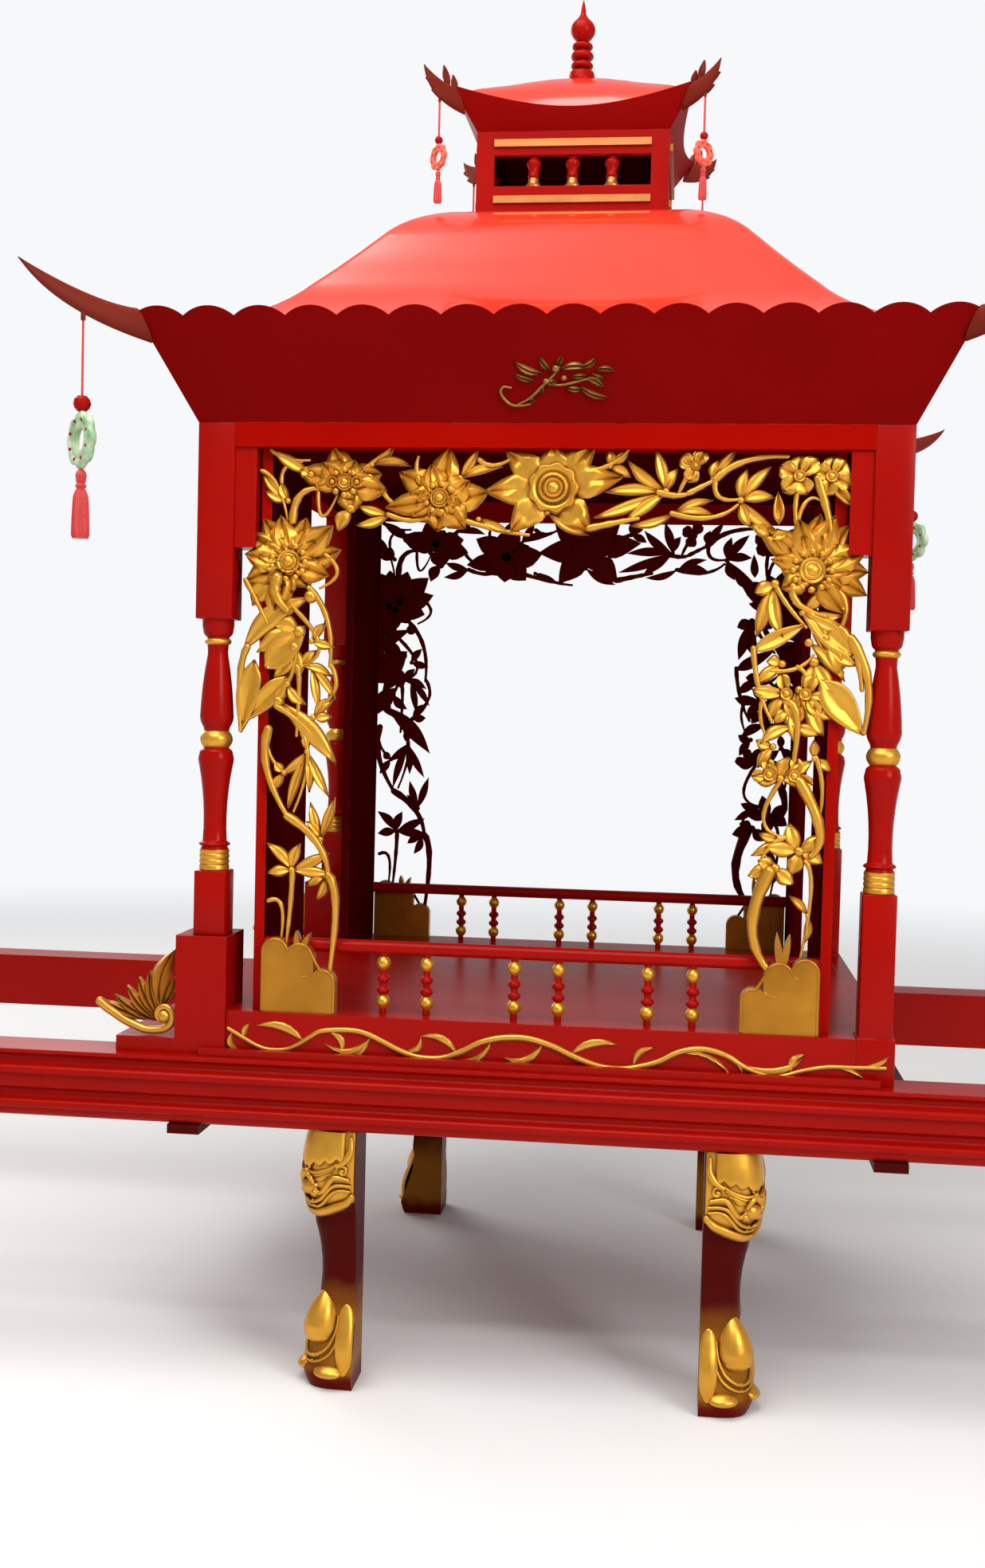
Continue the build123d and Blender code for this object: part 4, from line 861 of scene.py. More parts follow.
# Roofs, each a smooth skin with rounded hips
ROOF_SLOPE = (
    # shares of the way out and of the way up
    *arc_points((0, 1), (0.19, 0.908), (0.33, 0.737), 9),
    *arc_points((0.33, 0.737), (0.44, 0.555), (0.555, 0.377), 4)[1:],
    *arc_points((0.555, 0.377), (0.74, 0.158), (1, 0), 10)[1:],
)
ROOF_SHELL = 14 * MM
ROOF_LIP = 22 * MM
HIP_STEPS = 5
HIP_RADIUS, HIP_GROWTH = 8, 14


def rounded_ring(half_x, half_y, radius, height):
    """One level of a four-sided roof: the points of a rectangle with rounded corners."""
    points = []
    for quarter, (side_x, side_y) in enumerate(((1, 1), (-1, 1), (-1, -1), (1, -1))):
        for i in range(HIP_STEPS + 1):
            angle = math.radians(90 * (quarter + i / HIP_STEPS))
            points.append((
                side_x * (half_x - radius) + radius * math.cos(angle),
                side_y * (half_y - radius) + radius * math.sin(angle),
                height,
            ))
    return points


def make_main_roof():
    low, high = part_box("main_roof")
    top_half = lantern_high.x
    rise = high.z - low.z
    outer, inner = [], []
    for out, up in ROOF_SLOPE:
        half_x = top_half + out * (high.x - top_half)
        half_y = top_half + out * (high.y - top_half)
        radius = (HIP_RADIUS + HIP_GROWTH * out) * MM
        outer.append((half_x, half_y, radius, low.z + up * rise))
        if up * rise > ROOF_SHELL:
            inner.append((half_x, half_y, radius, low.z + up * rise - ROOF_SHELL))
    last_x, last_y, radius, _ = inner[-1]
    inner.append((last_x + ROOF_LIP, last_y + ROOF_LIP, radius, low.z))
    bm = bmesh.new()
    add_skin(bm, [rounded_ring(*level) for level in outer + inner[::-1]])
    make_piece("main_roof_skin", bm, ROOF_RED, "roof_lacquer", "main_roof")


CAP_SAG = 26 * MM
CAP_BOARD_WALL = 8.3 * MM
CAP_BOARD_STEPS = 12
CAP_BOARD_EDGE = 0.8 * MM


def make_cap_boards():
    """Four flared boards round the foot of the upper roof; their top edges sag between the corners."""
    rise = cap_high.z - cap_low.z
    flare = cap_high.x - lantern_high.x
    rings = []
    for wall, at_top in ((0, False), (0, True), (CAP_BOARD_WALL, True), (CAP_BOARD_WALL, False)):
        ring = []
        for quarter in range(4):
            turn = Matrix.Rotation(math.radians(90 * quarter), 4, "Z")
            for step in range(-CAP_BOARD_STEPS, CAP_BOARD_STEPS):
                along = step / CAP_BOARD_STEPS
                up = rise - CAP_SAG * (1 - along ** 2) if at_top else 0
                half = lantern_high.x - wall + flare * up / rise
                ring.append(turn @ Vector((along * half, -half, cap_low.z + up)))
        rings.append(ring)
    bm = bmesh.new()
    _, outer_top, inner_top, _ = add_skin(bm, rings, hollow=True)
    round_edges(bm, outer_top + inner_top, CAP_BOARD_EDGE)
    make_piece("cap_boards", bm, CAP_RED, "red_lacquer", "cap_eaves")


CAP_DOME = (
    # half width, height over the lantern, lift of the corners, their share outwards, squareness
    (124, 1, 0, 0, 12), (141, 29, 23, 0.11, 12), (133, 43, 17, 0.08, 10), (121, 59, 10, 0.04, 8),
    (106, 73, 5, 0.02, 6), (90, 85, 2, 0, 5), (70, 96, 0, 0, 4), (48, 105, 0, 0, 3), (30, 110, 0, 0, 2.5),
    (19, 112, 0, 0, 2),
)
CAP_POINTS = 64
CEILING_INSET = 12.3 * MM
CEILING_BOTTOM, CEILING_TOP, CEILING_EDGE = -2.5 * MM, 0.5 * MM, 0.5 * MM


def make_cap_roof():
    """A low dome, square at its foot, where it follows the sagging edges of the boards, and round above."""
    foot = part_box("cap_roof")[0].z
    rings = []
    for half, height, lift, flare, squareness in CAP_DOME:
        ring = []
        for k in range(CAP_POINTS):
            angle = math.tau * k / CAP_POINTS
            shares = abs(math.cos(angle)), abs(math.sin(angle))
            corner = (min(shares) / max(shares)) ** 2
            roundness = sum(share ** squareness for share in shares) ** (1 / squareness)
            reach = half * (1 + flare * corner) / roundness
            spot = Vector((math.cos(angle), math.sin(angle))) * reach * MM
            ring.append((*spot, foot + (height + lift * corner) * MM))
        rings.append(ring)
    bm = bmesh.new()
    add_skin(bm, rings)
    make_piece("cap_roof_skin", bm, ROOF_RED, "roof_lacquer", "cap_roof")
    bm = bmesh.new()
    half = lantern_high.x - CEILING_INSET
    add_block(bm, (-half, -half, foot + CEILING_BOTTOM), (half, half, foot + CEILING_TOP), CEILING_EDGE)
    make_piece("lantern_ceiling", bm, CEILING_RED, "dark_lacquer", "cap_roof")


make_main_roof()
make_cap_boards()
make_cap_roof()

# Balusters in the windows of the lantern: gilt cups with red necks
WINDOW_PITCH = 55
WINDOW_DEPTH = 11.7
SILL_HEIGHT = 36
WINDOW_CUP = swell((0, 11.2, 0), (2.5, 11.4, 0), (12, 7.6, -1.2), (13, 7.0, 0))
WINDOW_NECK = swell(
    (11, 6.4, 0), (14, 6.8, 0), (16, 8.2, 0), (29, 8.4, -0.8), (31, 9.8, 0), (37, 9.8, 0.5), (39.5, 7.0, 0),
    (42.8, 7.0, 0), (43, 0, 0), steps=5,
)


def make_window_balusters():
    wall_middle = lantern_high.y - WINDOW_DEPTH * MM
    cups, necks = bmesh.new(), bmesh.new()
    for quarter in range(4):
        turn = Matrix.Rotation(math.radians(90 * quarter), 4, "Z")
        for step in (-1, 0, 1):
            foot = turn @ Vector((step * WINDOW_PITCH * MM, -wall_middle, lantern_low.z + SILL_HEIGHT * MM))
            add_turned(cups, foot, WINDOW_CUP, sides=20)
            add_turned(necks, foot, WINDOW_NECK, sides=16)
    make_piece("window_cups", cups, PALE_GOLD, "gilding", "lantern_balusters")
    make_piece("window_necks", necks, RED, "red_lacquer", "lantern_balusters")


make_window_balusters()
# Cabriole legs: a gilt beast mask on the knee, a lacquered shin and a gilt foot
LEG_CURVE = (
    # width and height of the outline
    *arc_points((64, 0), (72, 30), (66, 67), 7),
    *arc_points((66, 67), (50, 141), (62, 220), 9)[1:],
    *arc_points((62, 220), (78, 269), (70, 336), 9)[1:],
)
LEG_HEIGHT = 336
RING_STEP = 6
CORNER_STEPS = 12
LEG_SQUARENESS = 4
KNEE_RELIEF, FOOT_RELIEF = 7.5, 6
KNEE_HIGH = 335.5
CORNER_SHARE = 0.84
MASK_RODS = (
    # course on half the face (across from the inner edge, height), width, height of its middle
    (((6, 328), (6, 312), (13, 300), (23, 293)), 10, 3.5),
    (((24, 295), (36, 288), (52, 283), (64, 284), (74, 289)), 5, 4.5),
    (((27, 290), (40, 283), (54, 279), (70, 283)), 4, 4.0),
    (((29, 286), (40, 280), (52, 276), (62, 277)), 3.5, 3.0), (((31, 283), (42, 279), (56, 271)), 3.2, 4.5),
    (((8, 276), (17, 278), (27, 278), (34, 270), (40, 261), (46, 257), (52, 262)), 8, 4.5),
    (((5, 268), (16, 269), (28, 267), (36, 259), (43, 250), (50, 245), (60, 242), (75, 245)), 6, 4.5),
    (((6, 261), (18, 262), (27, 259), (35, 251), (43, 241), (54, 236), (72, 238)), 6, 4.0),
    (((3, 254), (12, 244), (24, 238), (38, 232), (54, 228), (72, 229)), 14, 3.5),
    (((54, 270), (60, 278), (68, 284)), 8, 6.0),
)
CURL_X, CURL_Y = 16, 287
CURL_STEPS = 13
INSTEP = swell(
    (0, 0, 0), (3, 4, 0), (46, 23, 3.5), (62, 21, 1.4), (72, 12, 2.4), (77, 3, 1), (78, 0, 0), steps=8,
)
FOOT_RODS = (
    (((21, 92), (24, 72), (32, 56), (44, 46), (56, 42), (72, 44)), 4.2, 2.6),
    (((17, 84), (20, 66), (28, 49), (42, 38), (56, 34), (72, 36)), 3.8, 2.2),
)


def leg_width(height):
    for (low_width, low), (high_width, high) in zip(LEG_CURVE, LEG_CURVE[1:]):
        if height <= high:
            return low_width + (high_width - low_width) * (height - low) / (high - low)
    return LEG_CURVE[-1][0]


def body_reach(height):
    """Width of the lacquered body, which lies behind the outline where the gilt relief needs room."""
    knee = clamp((height - 214) / 14)
    foot = clamp((118 - height) / 16) * clamp((height - 22) / 8)
    return leg_width(height) - KNEE_RELIEF * knee - FOOT_RELIEF * foot


def leg_skin(bm):
    """Closed skin of a leg: flat inside, its outer corner well rounded."""
    rings = []
    for height in range(0, LEG_HEIGHT + 1, RING_STEP):
        reach = body_reach(height)
        ring = [mm(0, 0, height)]
        for k in range(CORNER_STEPS + 1):
            angle = math.radians(90 * k / CORNER_STEPS)
            across, out = (
                reach * max(share, 0) ** (2 / LEG_SQUARENESS) for share in (math.cos(angle), math.sin(angle))
            )
            ring.append(mm(across, out, height))
        rings.append(ring)
    add_skin(bm, rings, foot_first=True)


def wrap_on_leg(bm, mirrored):
    """Lay a flat drawing (across, height, out) on the leg, and its mirror image beyond the corner."""
    for v in bm.verts:
        across, height, out = v.co / MM
        reach = body_reach(height) + out
        share = clamp(across / reach, 0, CORNER_SHARE)
        beyond = max(across - CORNER_SHARE * reach, 0) * 0.3
        place = (share * reach + beyond, reach * (1 - share ** LEG_SQUARENESS) ** (1 / LEG_SQUARENESS) - beyond)
        v.co = mm(*(place[::-1] if mirrored else place), height)


def chin_edge(across):
    return 247 - 20 * math.sin(math.pi * min(across / 62, 1) / 2)


def forehead_edge(across):
    return 301 - 0.22 * (across - 20) - 6 * abs(math.sin(math.pi * (across - 24) / 15))


def add_plate(bm, left, right, edge, depth, rounding):
    """A plate up to the top of the knee, its lower edge drawn by a function and well rounded."""
    flat, raised = thick_grid(bm, 28, 12)
    for v in (*flat, *raised):
        across = left + (right - left) * (v.co.x + 1) / 2
        share = (v.co.y + 1) / 2
        foot = edge(across)
        near_edge = min(share * (KNEE_HIGH - foot) / rounding, (across - left) / rounding, 1)
        out = depth * math.sqrt(1 - (1 - near_edge) ** 2) if v in raised else -3
        v.co = mm(across, foot + (KNEE_HIGH - foot) * share, out)


def curl():
    """The spiral at the inner end of the brow."""
    course = []
    for i in range(CURL_STEPS):
        radius, angle = 8 - 0.55 * i, 0.62 * i
        course.append((CURL_X + radius * math.cos(angle), CURL_Y + radius * math.sin(angle)))
    return course


def draw_mask(bm):
    add_plate(bm, 1, 66, chin_edge, 2, 3)
    add_plate(bm, 12, 66, forehead_edge, 7, 7)
    for course, width, height in MASK_RODS:
        add_drawn_rod(bm, course, width, height)
    add_drawn_rod(bm, curl(), 4.6, 4.0)
    add_leaf(bm, (33, 281), (54, 271), 9, 5.5, groove=0.0)
    add_ball(bm, (53, 256, 4), (6, 5.5, 5), 8, 12)
    add_ball(bm, (CURL_X, CURL_Y, 2.5), (3.4, 3.4, 3), 6, 10)


def draw_foot(bm):
    for course, width, height in FOOT_RODS:
        add_drawn_rod(bm, course, width, height)
    add_ball(bm, (11, 64, -1), (14, 44, 8.5), 18, 24)
    add_ball(bm, (31, 24, 0), (19, 8.5, 8), 10, 18)


def make_legs():
    for end, across in LEFT_RIGHT:
        for side, depth in FRONT_REAR:
            node = f"leg_{depth}_{across}"
            low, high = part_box(node)
            corner = (low.x if end > 0 else high.x, low.y if side > 0 else high.y, low.z)
            shin, mask, foot = bmesh.new(), bmesh.new(), bmesh.new()
            leg_skin(shin)
            for bm, draw in ((mask, draw_mask), (foot, draw_foot)):
                for mirrored in (False, True):
                    one_side = bmesh.new()
                    draw(one_side)
                    wrap_on_leg(one_side, mirrored)
                    merge(bm, one_side)
            add_ball(mask, (57, 57, 263), (14, 14, 12), 12, 20)
            add_turned(foot, mm(38, 38, 127), INSTEP, (0.13, 0.13, -1), 32)
            for bm, kind, finish, slot in (
                (shin, "leg_body", LEG_LACQUER, "red_lacquer"),
                (mask, "leg_mask", GOLD, "gilding"),
                (foot, "leg_foot", GOLD, "gilding"),
            ):
                set_up(bm, (end, 0, 0), (0, side, 0), UP, corner)
                make_piece(f"{kind}_{depth}_{across}", bm, finish, slot, node, sharp=60)


make_legs()

# Scroll brackets on the porch shelf
SCROLL_ARM = (
    # x away from the pedestal, y up from the shelf
    (104, 41), (94, 33), (83, 26), (70, 18), (56, 12), (42, 7), (30, 6.5), (18, 8.5), (9, 15), (6, 24), (8,
        33), (16, 38), (24, 35), (27, 28), (24, 21), (17, 20), (14, 25), (18, 28),
)
SCROLL_LEAVES = (
    # root, tip, width, bend, depth
    ((32, 20), (103, 43), 14, -0.05, 13), ((30, 18), (87, 51), 13, -0.05, 14),
    ((30, 20), (69, 63), 14, -0.06, 15), ((27, 24), (53, 75), 15, -0.06, 16),
    ((26, 28), (38, 84), 15, -0.08, 16), ((24, 34), (4, 114), 26, -0.12, 17),
    ((20, 40), (3, 80), 16, 0.10, 15),
)
SCROLL_SETBACK = 18 * MM
ARM_WIDTH, ARM_TAPER = 13, 6


def make_scroll_brackets():
    low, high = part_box("scroll_brackets")
    bm = bmesh.new()
    for side in (-1, 1):
        scroll = bmesh.new()
        for root, tip, width, bend, depth in SCROLL_LEAVES:
            add_leaf(scroll, root, tip, width, depth, bend=bend, fullness=0.8, groove=0.6)
        course = smooth_course([Vector((x, y, 9)) for x, y in SCROLL_ARM])
        last = len(course) - 1
        add_rod(scroll, course, [ARM_WIDTH - ARM_TAPER * i / last for i in range(last + 1)])
        add_ball(scroll, (18, 25, 9), (9, 9, 7))
        set_up(scroll, (-1, 0, 0), UP, (0, side, 0), (high.x, side * (high.y - SCROLL_SETBACK), low.z))
        merge(bm, scroll)
    make_piece("carved_scrolls", bm, FLAT_GOLD, "gilding", "scroll_brackets", sharp=60)


make_scroll_brackets()

# Gilt vines on the base boards and a spray of leaves in the middle of the front and rear eaves boards
VINE_COURSE = (
    # x, height above the ground
    (-396, 459), (-376, 448), (-357, 438), (-341, 434), (-320, 435), (-304, 442), (-286, 454), (-273, 461),
    (-244, 464), (-219, 462), (-194, 452), (-166, 439), (-142, 433), (-115, 434), (-90, 444), (-65, 457),
        (-35, 464),
    (-5, 464), (25, 456), (55, 443), (85, 433), (112, 431), (135, 435), (160, 443), (182, 455), (205, 461),
        (226, 460),
    (247, 453), (263, 443), (284, 434), (304, 431), (320, 434), (338, 440), (367, 446), (400, 447), (438,
        448),
)
VINE_LEAVES = (
    # root, tip, width, bend
    ((-376, 448), (-371, 465), 10, 0.10), ((-390, 455), (-384, 433), 10, -0.30),
    ((-296, 447), (-338, 463), 13, -0.12), ((-266, 462), (-254, 431), 11, 0.25),
    ((-206, 458), (-248, 446), 10, 0.20), ((-210, 456), (-236, 433), 9, 0.20),
    ((-163, 440), (-150, 460), 10, -0.25), ((-96, 440), (-128, 459), 11, -0.15),
    ((-52, 461), (-84, 435), 10, 0.20), ((14, 460), (-20, 440), 11, 0.20), ((48, 446), (88, 460), 12, 0.12),
    ((128, 433), (146, 458), 10, 0.20), ((182, 455), (216, 441), 7, 0.15), ((180, 453), (228, 428), 7, 0.15),
    ((262, 444), (314, 456), 12, -0.15), ((252, 450), (260, 434), 7, 0.10),
    ((323, 435), (335, 459), 11, 0.20), ((374, 446), (400, 434), 8, 0.10), ((410, 447), (432, 462), 8, -0.10),
)
STRETCH_X, STRETCH_Y = 1.5, 1.08
SPRAY_RODS = (
    # course (x, height above the ground), width
    (((-46, 1279), (-55, 1280), (-59, 1275), (-55, 1267), (-46, 1260), (-34, 1259), (-22, 1261)), 4.5),
    (((-38, 1260), (-22, 1268), (-8, 1280), (6, 1292), (14, 1302)), 4.5),
    (((-4, 1284), (12, 1282), (28, 1284), (44, 1288), (62, 1291)), 3.8),
)
SPRAY_LEAVES = (
    # root, tip, width, bend
    ((-6, 1295), (-41, 1308), 11, 0.12), ((4, 1298), (-10, 1313), 9, 0.10),
    ((-16, 1286), (-42, 1294), 8, 0.05), ((15, 1299), (50, 1301), 11, 0.10), ((28, 1291), (49, 1292), 8, 0.0),
    ((44, 1290), (70, 1278), 10, 0.12), ((22, 1280), (43, 1278), 9, -0.10),
    ((38, 1281), (76, 1268), 9, -0.10), ((58, 1298), (83, 1297), 8, 0.12), ((52, 1294), (70, 1288), 7, 0.0),
    ((-1, 1279), (13, 1286), 9, 0.20), ((-8, 1282), (-8, 1271), 7, 0.0), ((-24, 1262), (-15, 1268), 7, 0.0),
    ((12, 1303), (18, 1314), 8, 0.0), ((40, 1302), (60, 1313), 9, -0.15),
)
SPRAY_BUDS = (10, 1300, 5), (-2, 1286, 4.5), (20, 1290, 4)
EAVES_FLARE, EAVES_RISE = 68, 131
EAVES_FOOT = 1239


def draw_vine(bm):
    add_drawn_rod(bm, VINE_COURSE, 8.5, 1.5)
    for root, tip, width, bend in VINE_LEAVES:
        (root_x, root_y), (tip_x, tip_y) = root, tip
        end = (root_x + STRETCH_X * (tip_x - root_x), root_y + STRETCH_Y * (tip_y - root_y))
        add_leaf(bm, root, end, 0.85 * width, 4, bend=1.2 * bend, fullness=0.75, skew=0.85, groove=0.2)


def draw_spray(bm):
    """The spray, its heights measured up the slope of the board from its lower edge."""
    def up_slope(x, y):
        return x, (y - EAVES_FOOT) * math.hypot(EAVES_RISE, EAVES_FLARE) / EAVES_RISE

    for course, width in SPRAY_RODS:
        add_drawn_rod(bm, [up_slope(*point) for point in course], width, 2)
    for root, tip, width, bend in SPRAY_LEAVES:
        add_leaf(bm, up_slope(*root), up_slope(*tip), width, 5, bend=bend, fullness=0.8, groove=0.6)
    for x, y, radius in SPRAY_BUDS:
        add_ball(bm, (*up_slope(x, y), 2), (radius, radius, 4), 8, 12)


def make_gilt_relief():
    slope = Vector((EAVES_FLARE, EAVES_RISE)).normalized()
    for side, depth in FRONT_REAR:
        bm = bmesh.new()
        draw_vine(bm)
        set_upright(bm, side, lower_half)
        make_piece(f"gilt_vine_{depth}", bm, FLAT_GOLD, "gilding", sharp=60)
        bm = bmesh.new()
        draw_spray(bm)
        up, out = (0, side * slope.x, slope.y), (0, side * slope.y, -slope.x)
        set_up(bm, (1, 0, 0), up, out, (0, side * lower_half, eaves_low.z))
        make_piece(f"gilt_spray_{depth}", bm, SHADED_GOLD, "gilding", sharp=60)


make_gilt_relief()

# Buds on the ends of the rails, wrapped in petals
BUD = swell(
    (0, 41, 0), (6, 41, 1.2), (8, 39, 0), (10, 33, 0), (13, 32, 0), (62, 17, 9), (66, 9, 0), (70, 2, 1.5),
    steps=10,
)
BUD_RADIUS = 41
BUD_PETALS = 8
PETAL_FOOT, PETAL_REACH = 13, 49
PETAL_HUG, PETAL_TAPER, PETAL_BELLY = 30, 14, 36


def wrap_on_bud(bm, turn):
    """Bend a flat petal round the swelling body of a bud, which lies along x."""
    for v in bm.verts:
        across, along, out = v.co / MM
        share = clamp((along - PETAL_FOOT) / PETAL_REACH)
        radius = PETAL_HUG - PETAL_TAPER * share + PETAL_BELLY * share * (1 - share) + out
        angle = turn + across / PETAL_HUG
        v.co = mm(along, radius * math.cos(angle), radius * math.sin(angle))


def make_buds():
    bm = bmesh.new()
    rail_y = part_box("rail_knobs")[1].y - BUD_RADIUS * MM
    middle_z = (rail_low.z + rail_high.z) / 2
    for end, foot_x in ((-1, rail_low.x), (1, rail_high.x)):
        for side in (-1, 1):
            foot = (foot_x, side * rail_y, middle_z)
            add_turned(bm, foot, BUD, (end, 0, 0), 32)
            for k in range(BUD_PETALS):
                petal = bmesh.new()
                add_leaf(petal, (0, 11), (0, 64), 25, 3.5, fullness=0.6, skew=0.8)
                wrap_on_bud(petal, math.tau * k / BUD_PETALS)
                set_up(petal, (end, 0, 0), (0, 1, 0), UP, foot)
                merge(bm, petal)
    make_piece("carved_buds", bm, GOLD, "gilding", "rail_knobs", sharp=50)


make_buds()

# Raised rims over the heaps of rock
ROCK_LOBES = (
    # inset from the inner board, radius, height of its top over the floor, start and end of its arc in degrees
    (19, 18, 96.7, 180, 20), (51, 19, 90.9, 150, 12), (82, 17, 58.0, 100, 0),
)
ROCK_FOLDS = (
    # short folds carved below the valleys: inset and height over the floor
    ((35, 82), (33, 74), (27, 70)), ((69, 54), (64, 48), (56, 47)),
)
RIM_INSET = 2
RIM_STEPS = 7
RIM_WIDTH, FOLD_WIDTH = 4.4, 3
RIM_DEPTH = 15


def rim_course():
    """The outline of a heap of rock, over its lobes from the inner board to the doorway."""
    course = [(3, 2), (3, 60)]
    for inset, radius, top, start, finish in ROCK_LOBES:
        rim = radius - RIM_INSET
        for i in range(RIM_STEPS + 1):
            angle = math.radians(start + (finish - start) * i / RIM_STEPS)
            course.append((inset + rim * math.cos(angle), top - radius + rim * math.sin(angle)))
    return [*course, (97, 25), (97, 2)]


def make_rock_rims():
    lines = [(rim_course(), RIM_WIDTH), *((fold, FOLD_WIDTH) for fold in ROCK_FOLDS)]
    for side, depth, finish, slot in ((-1, "front", ROCK_GOLD, "gilding"), (1, "rear", MAROON, "dark_lacquer")):
        bm = bmesh.new()
        for end in (-1, 1):
            for line, width in lines:
                points = smooth_course([
                    Vector((end * (opening_half / MM - inset), floor_top / MM + height, RIM_DEPTH))
                    for inset, height in line
                ], 2)
                add_rod(bm, points, [width] * len(points), 8)
        set_upright(bm, side, front_plane)
        make_piece(f"rock_rims_{depth}", bm, finish, slot, sharp=60)


make_rock_rims()

# Upswept horns at the corners of both roofs, each with a peg for its ornament
PEG_DROP = 28.5
HORNS = (
    # node, length, rise, root, belly, thickness, peg's reach and radius, depth of its head under the top
    ("eaves_horns", 146, 32, 42, 0.34, 13, 63, 3, 6),
    ("cap_horns", 46, 15, 36, 0.55, 10, 18.4, 2, 8),
)
CAP_SPIKES = (
    # root, tip, width: small leaves on the upper edge of a lantern horn
    ((4, -8), (14, 22), 11), ((-8, -10), (-2, 13), 10), ((14, -10), (44, -2), 12), ((2, -22), (34, -16), 11),
)
HORN_STEPS = 18
HORN_SIDES = 12
TIP_HALF = 0.4


def horn_skin(bm, length, rise, root, belly, thickness):
    """A curved blade in an upright drawing, x outwards and y up, thick at its root and fine at its tip."""
    upper = arc_points((-0.2 * root, -2), (0.4 * length, 0.16 * rise), (length, rise), HORN_STEPS + 1)
    lower = arc_points((-0.7 * root, -root), (0.55 * length, -belly * root), (length, rise), HORN_STEPS + 1)
    rings = []
    for i, (high, low) in enumerate(zip(upper, lower)):
        half = thickness / 2 * (1 - (i / HORN_STEPS) ** 2 * 0.75)
        reach = (high - low) / 2 if i < HORN_STEPS else Vector((0, TIP_HALF))
        ring = []
        for k in range(HORN_SIDES):
            angle = math.tau * k / HORN_SIDES
            spot = (high + low) / 2 + reach * math.cos(angle)
            ring.append(mm(*spot, half * math.copysign(abs(math.sin(angle)) ** 0.7, math.sin(angle))))
        rings.append(ring)
    add_skin(bm, rings, foot_first=True)


def make_horns():
    for node, length, rise, root, belly, thickness, peg_reach, peg_radius, peg_head in HORNS:
        half_x, half_y, top = board_corners[node]
        peg_length = PEG_DROP - peg_head
        bm = bmesh.new()
        for end in (-1, 1):
            for side in (-1, 1):
                horn = bmesh.new()
                horn_skin(horn, length, rise, root, belly, thickness)
                if node == "cap_horns":
                    for start, tip, width in CAP_SPIKES:
                        add_leaf(horn, start, tip, width, 6, floor=-3)
                outward = Vector((end, side, 0)).normalized()
                corner = Vector((end * half_x, side * half_y, top))
                set_up(horn, outward, UP, outward.cross(UP), corner)
                peg_foot = corner + outward * peg_reach * MM - UP * PEG_DROP * MM
                add_turned(horn, peg_foot, swell((0, peg_radius, 0), (peg_length, peg_radius, 0)), sides=12)
                merge(bm, horn)
        make_piece(f"carved_{node}", bm, HORN_RED, "dark_lacquer", node, sharp=50)


make_horns()

# Hanging ornaments under the horns: a cord, a bead, a ring and a tassel
CORD_DIAMETER = 3 * MM
CORD_LENGTH = 90 * MM
PENDANTS = (
    # name, horns that carry it, how far out of the boards' corner, size, finish and slot of the ring
    ("large", "eaves_horns", 44.5 * MM, 1.0, JADE, "jade"),
    ("small", "cap_horns", 13.0 * MM, 0.52, ORANGE_SILK, "silk"),
)
BEAD_RADIUS = 11 * MM
RING_RADIUS = 36 * MM
RING_OVERLAP = 3 * MM
RING_LOBES = 8
SCALLOP_START, SCALLOP_DEPTH = 0.55, 0.13
DOT_PLACE, DOT_OUT, DOT_RADIUS = 25, 4.4, 2.2
RING_SECTION = (
    # height out of the ring's plane, radius
    (-3.5, 14.4), (-5, 17), (-4.2, 21), (-3.2, 23), (-5, 26), (-5, 32), (-3, 35.4), (0, 36),
    (3, 35.4), (5, 32), (5, 26), (3.2, 23), (4.2, 21), (5, 17), (3.5, 14.4),
)
TASSEL = swell(
    # downwards from its head
    (0, 3.3, 0), (3, 5.6, 0), (10, 6.6, 0.8), (15, 6.0, 0), (17, 4.6, 0), (18, 6.2, 0), (22, 6.2, 0.6),
    (23, 4.8, 0), (34, 8.8, 0.4), (80, 10.4, 0.3), (84, 9.0, 0),
)
TASSEL_SIDES = 48
TASSEL_NECK = 24
STRAND_SWING = 0.07


def hang_cord(name, exit_point, length):
    """A silk cord straight down from its peg."""
    curve = bpy.data.curves.new(name, "CURVE")
    curve.dimensions = "3D"
    curve.bevel_depth = CORD_DIAMETER / 2
    curve.bevel_resolution = 4
    curve.use_fill_caps = True
    spline = curve.splines.new("NURBS")
    spline.points.add(3)
    for i, point in enumerate(spline.points):
        point.co = (exit_point.x, exit_point.y, exit_point.z - length * i / 3, 1)
    spline.order_u = 3
    spline.use_endpoint_u = True
    curve.materials.append(SILK)
    piece = bpy.data.objects.new(name, curve)
    scene.collection.objects.link(piece)
    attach(piece, "root")
    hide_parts("pendant_cords")
    return piece


def make_ring(place, size):
    """A flat ring with a scalloped rim, carved like a flower."""
    bm = bmesh.new()
    points = [bm.verts.new(mm(radius, 0, height) * size) for height, radius in RING_SECTION]
    edges = [bm.edges.new((points[i - 1], points[i])) for i in range(len(points))]
    spin(bm, points + edges, (0, 0, 0), UP, 64)
    for v in bm.verts:
        out = v.co.to_2d().length / (RING_RADIUS * size)
        waves = 1 - abs(math.cos(RING_LOBES / 2 * math.atan2(v.co.y, v.co.x)))
        lobes = 1 - SCALLOP_DEPTH * max(out - SCALLOP_START, 0) / (1 - SCALLOP_START) * waves
        v.co.x *= lobes
        v.co.y *= lobes
    bmesh.ops.transform(bm, matrix=place, verts=bm.verts)
    return bm


def make_dots(place, size):
    """A small bead on each lobe of a ring, on both its faces."""
    bm = bmesh.new()
    for k in range(RING_LOBES):
        angle = math.tau * (k + 0.5) / RING_LOBES
        for face in (-1, 1):
            spot = mm(DOT_PLACE * math.cos(angle), DOT_PLACE * math.sin(angle), DOT_OUT * face) * size
            add_ball(bm, place @ spot / MM, [DOT_RADIUS * size] * 3, 6, 10)
    return bm


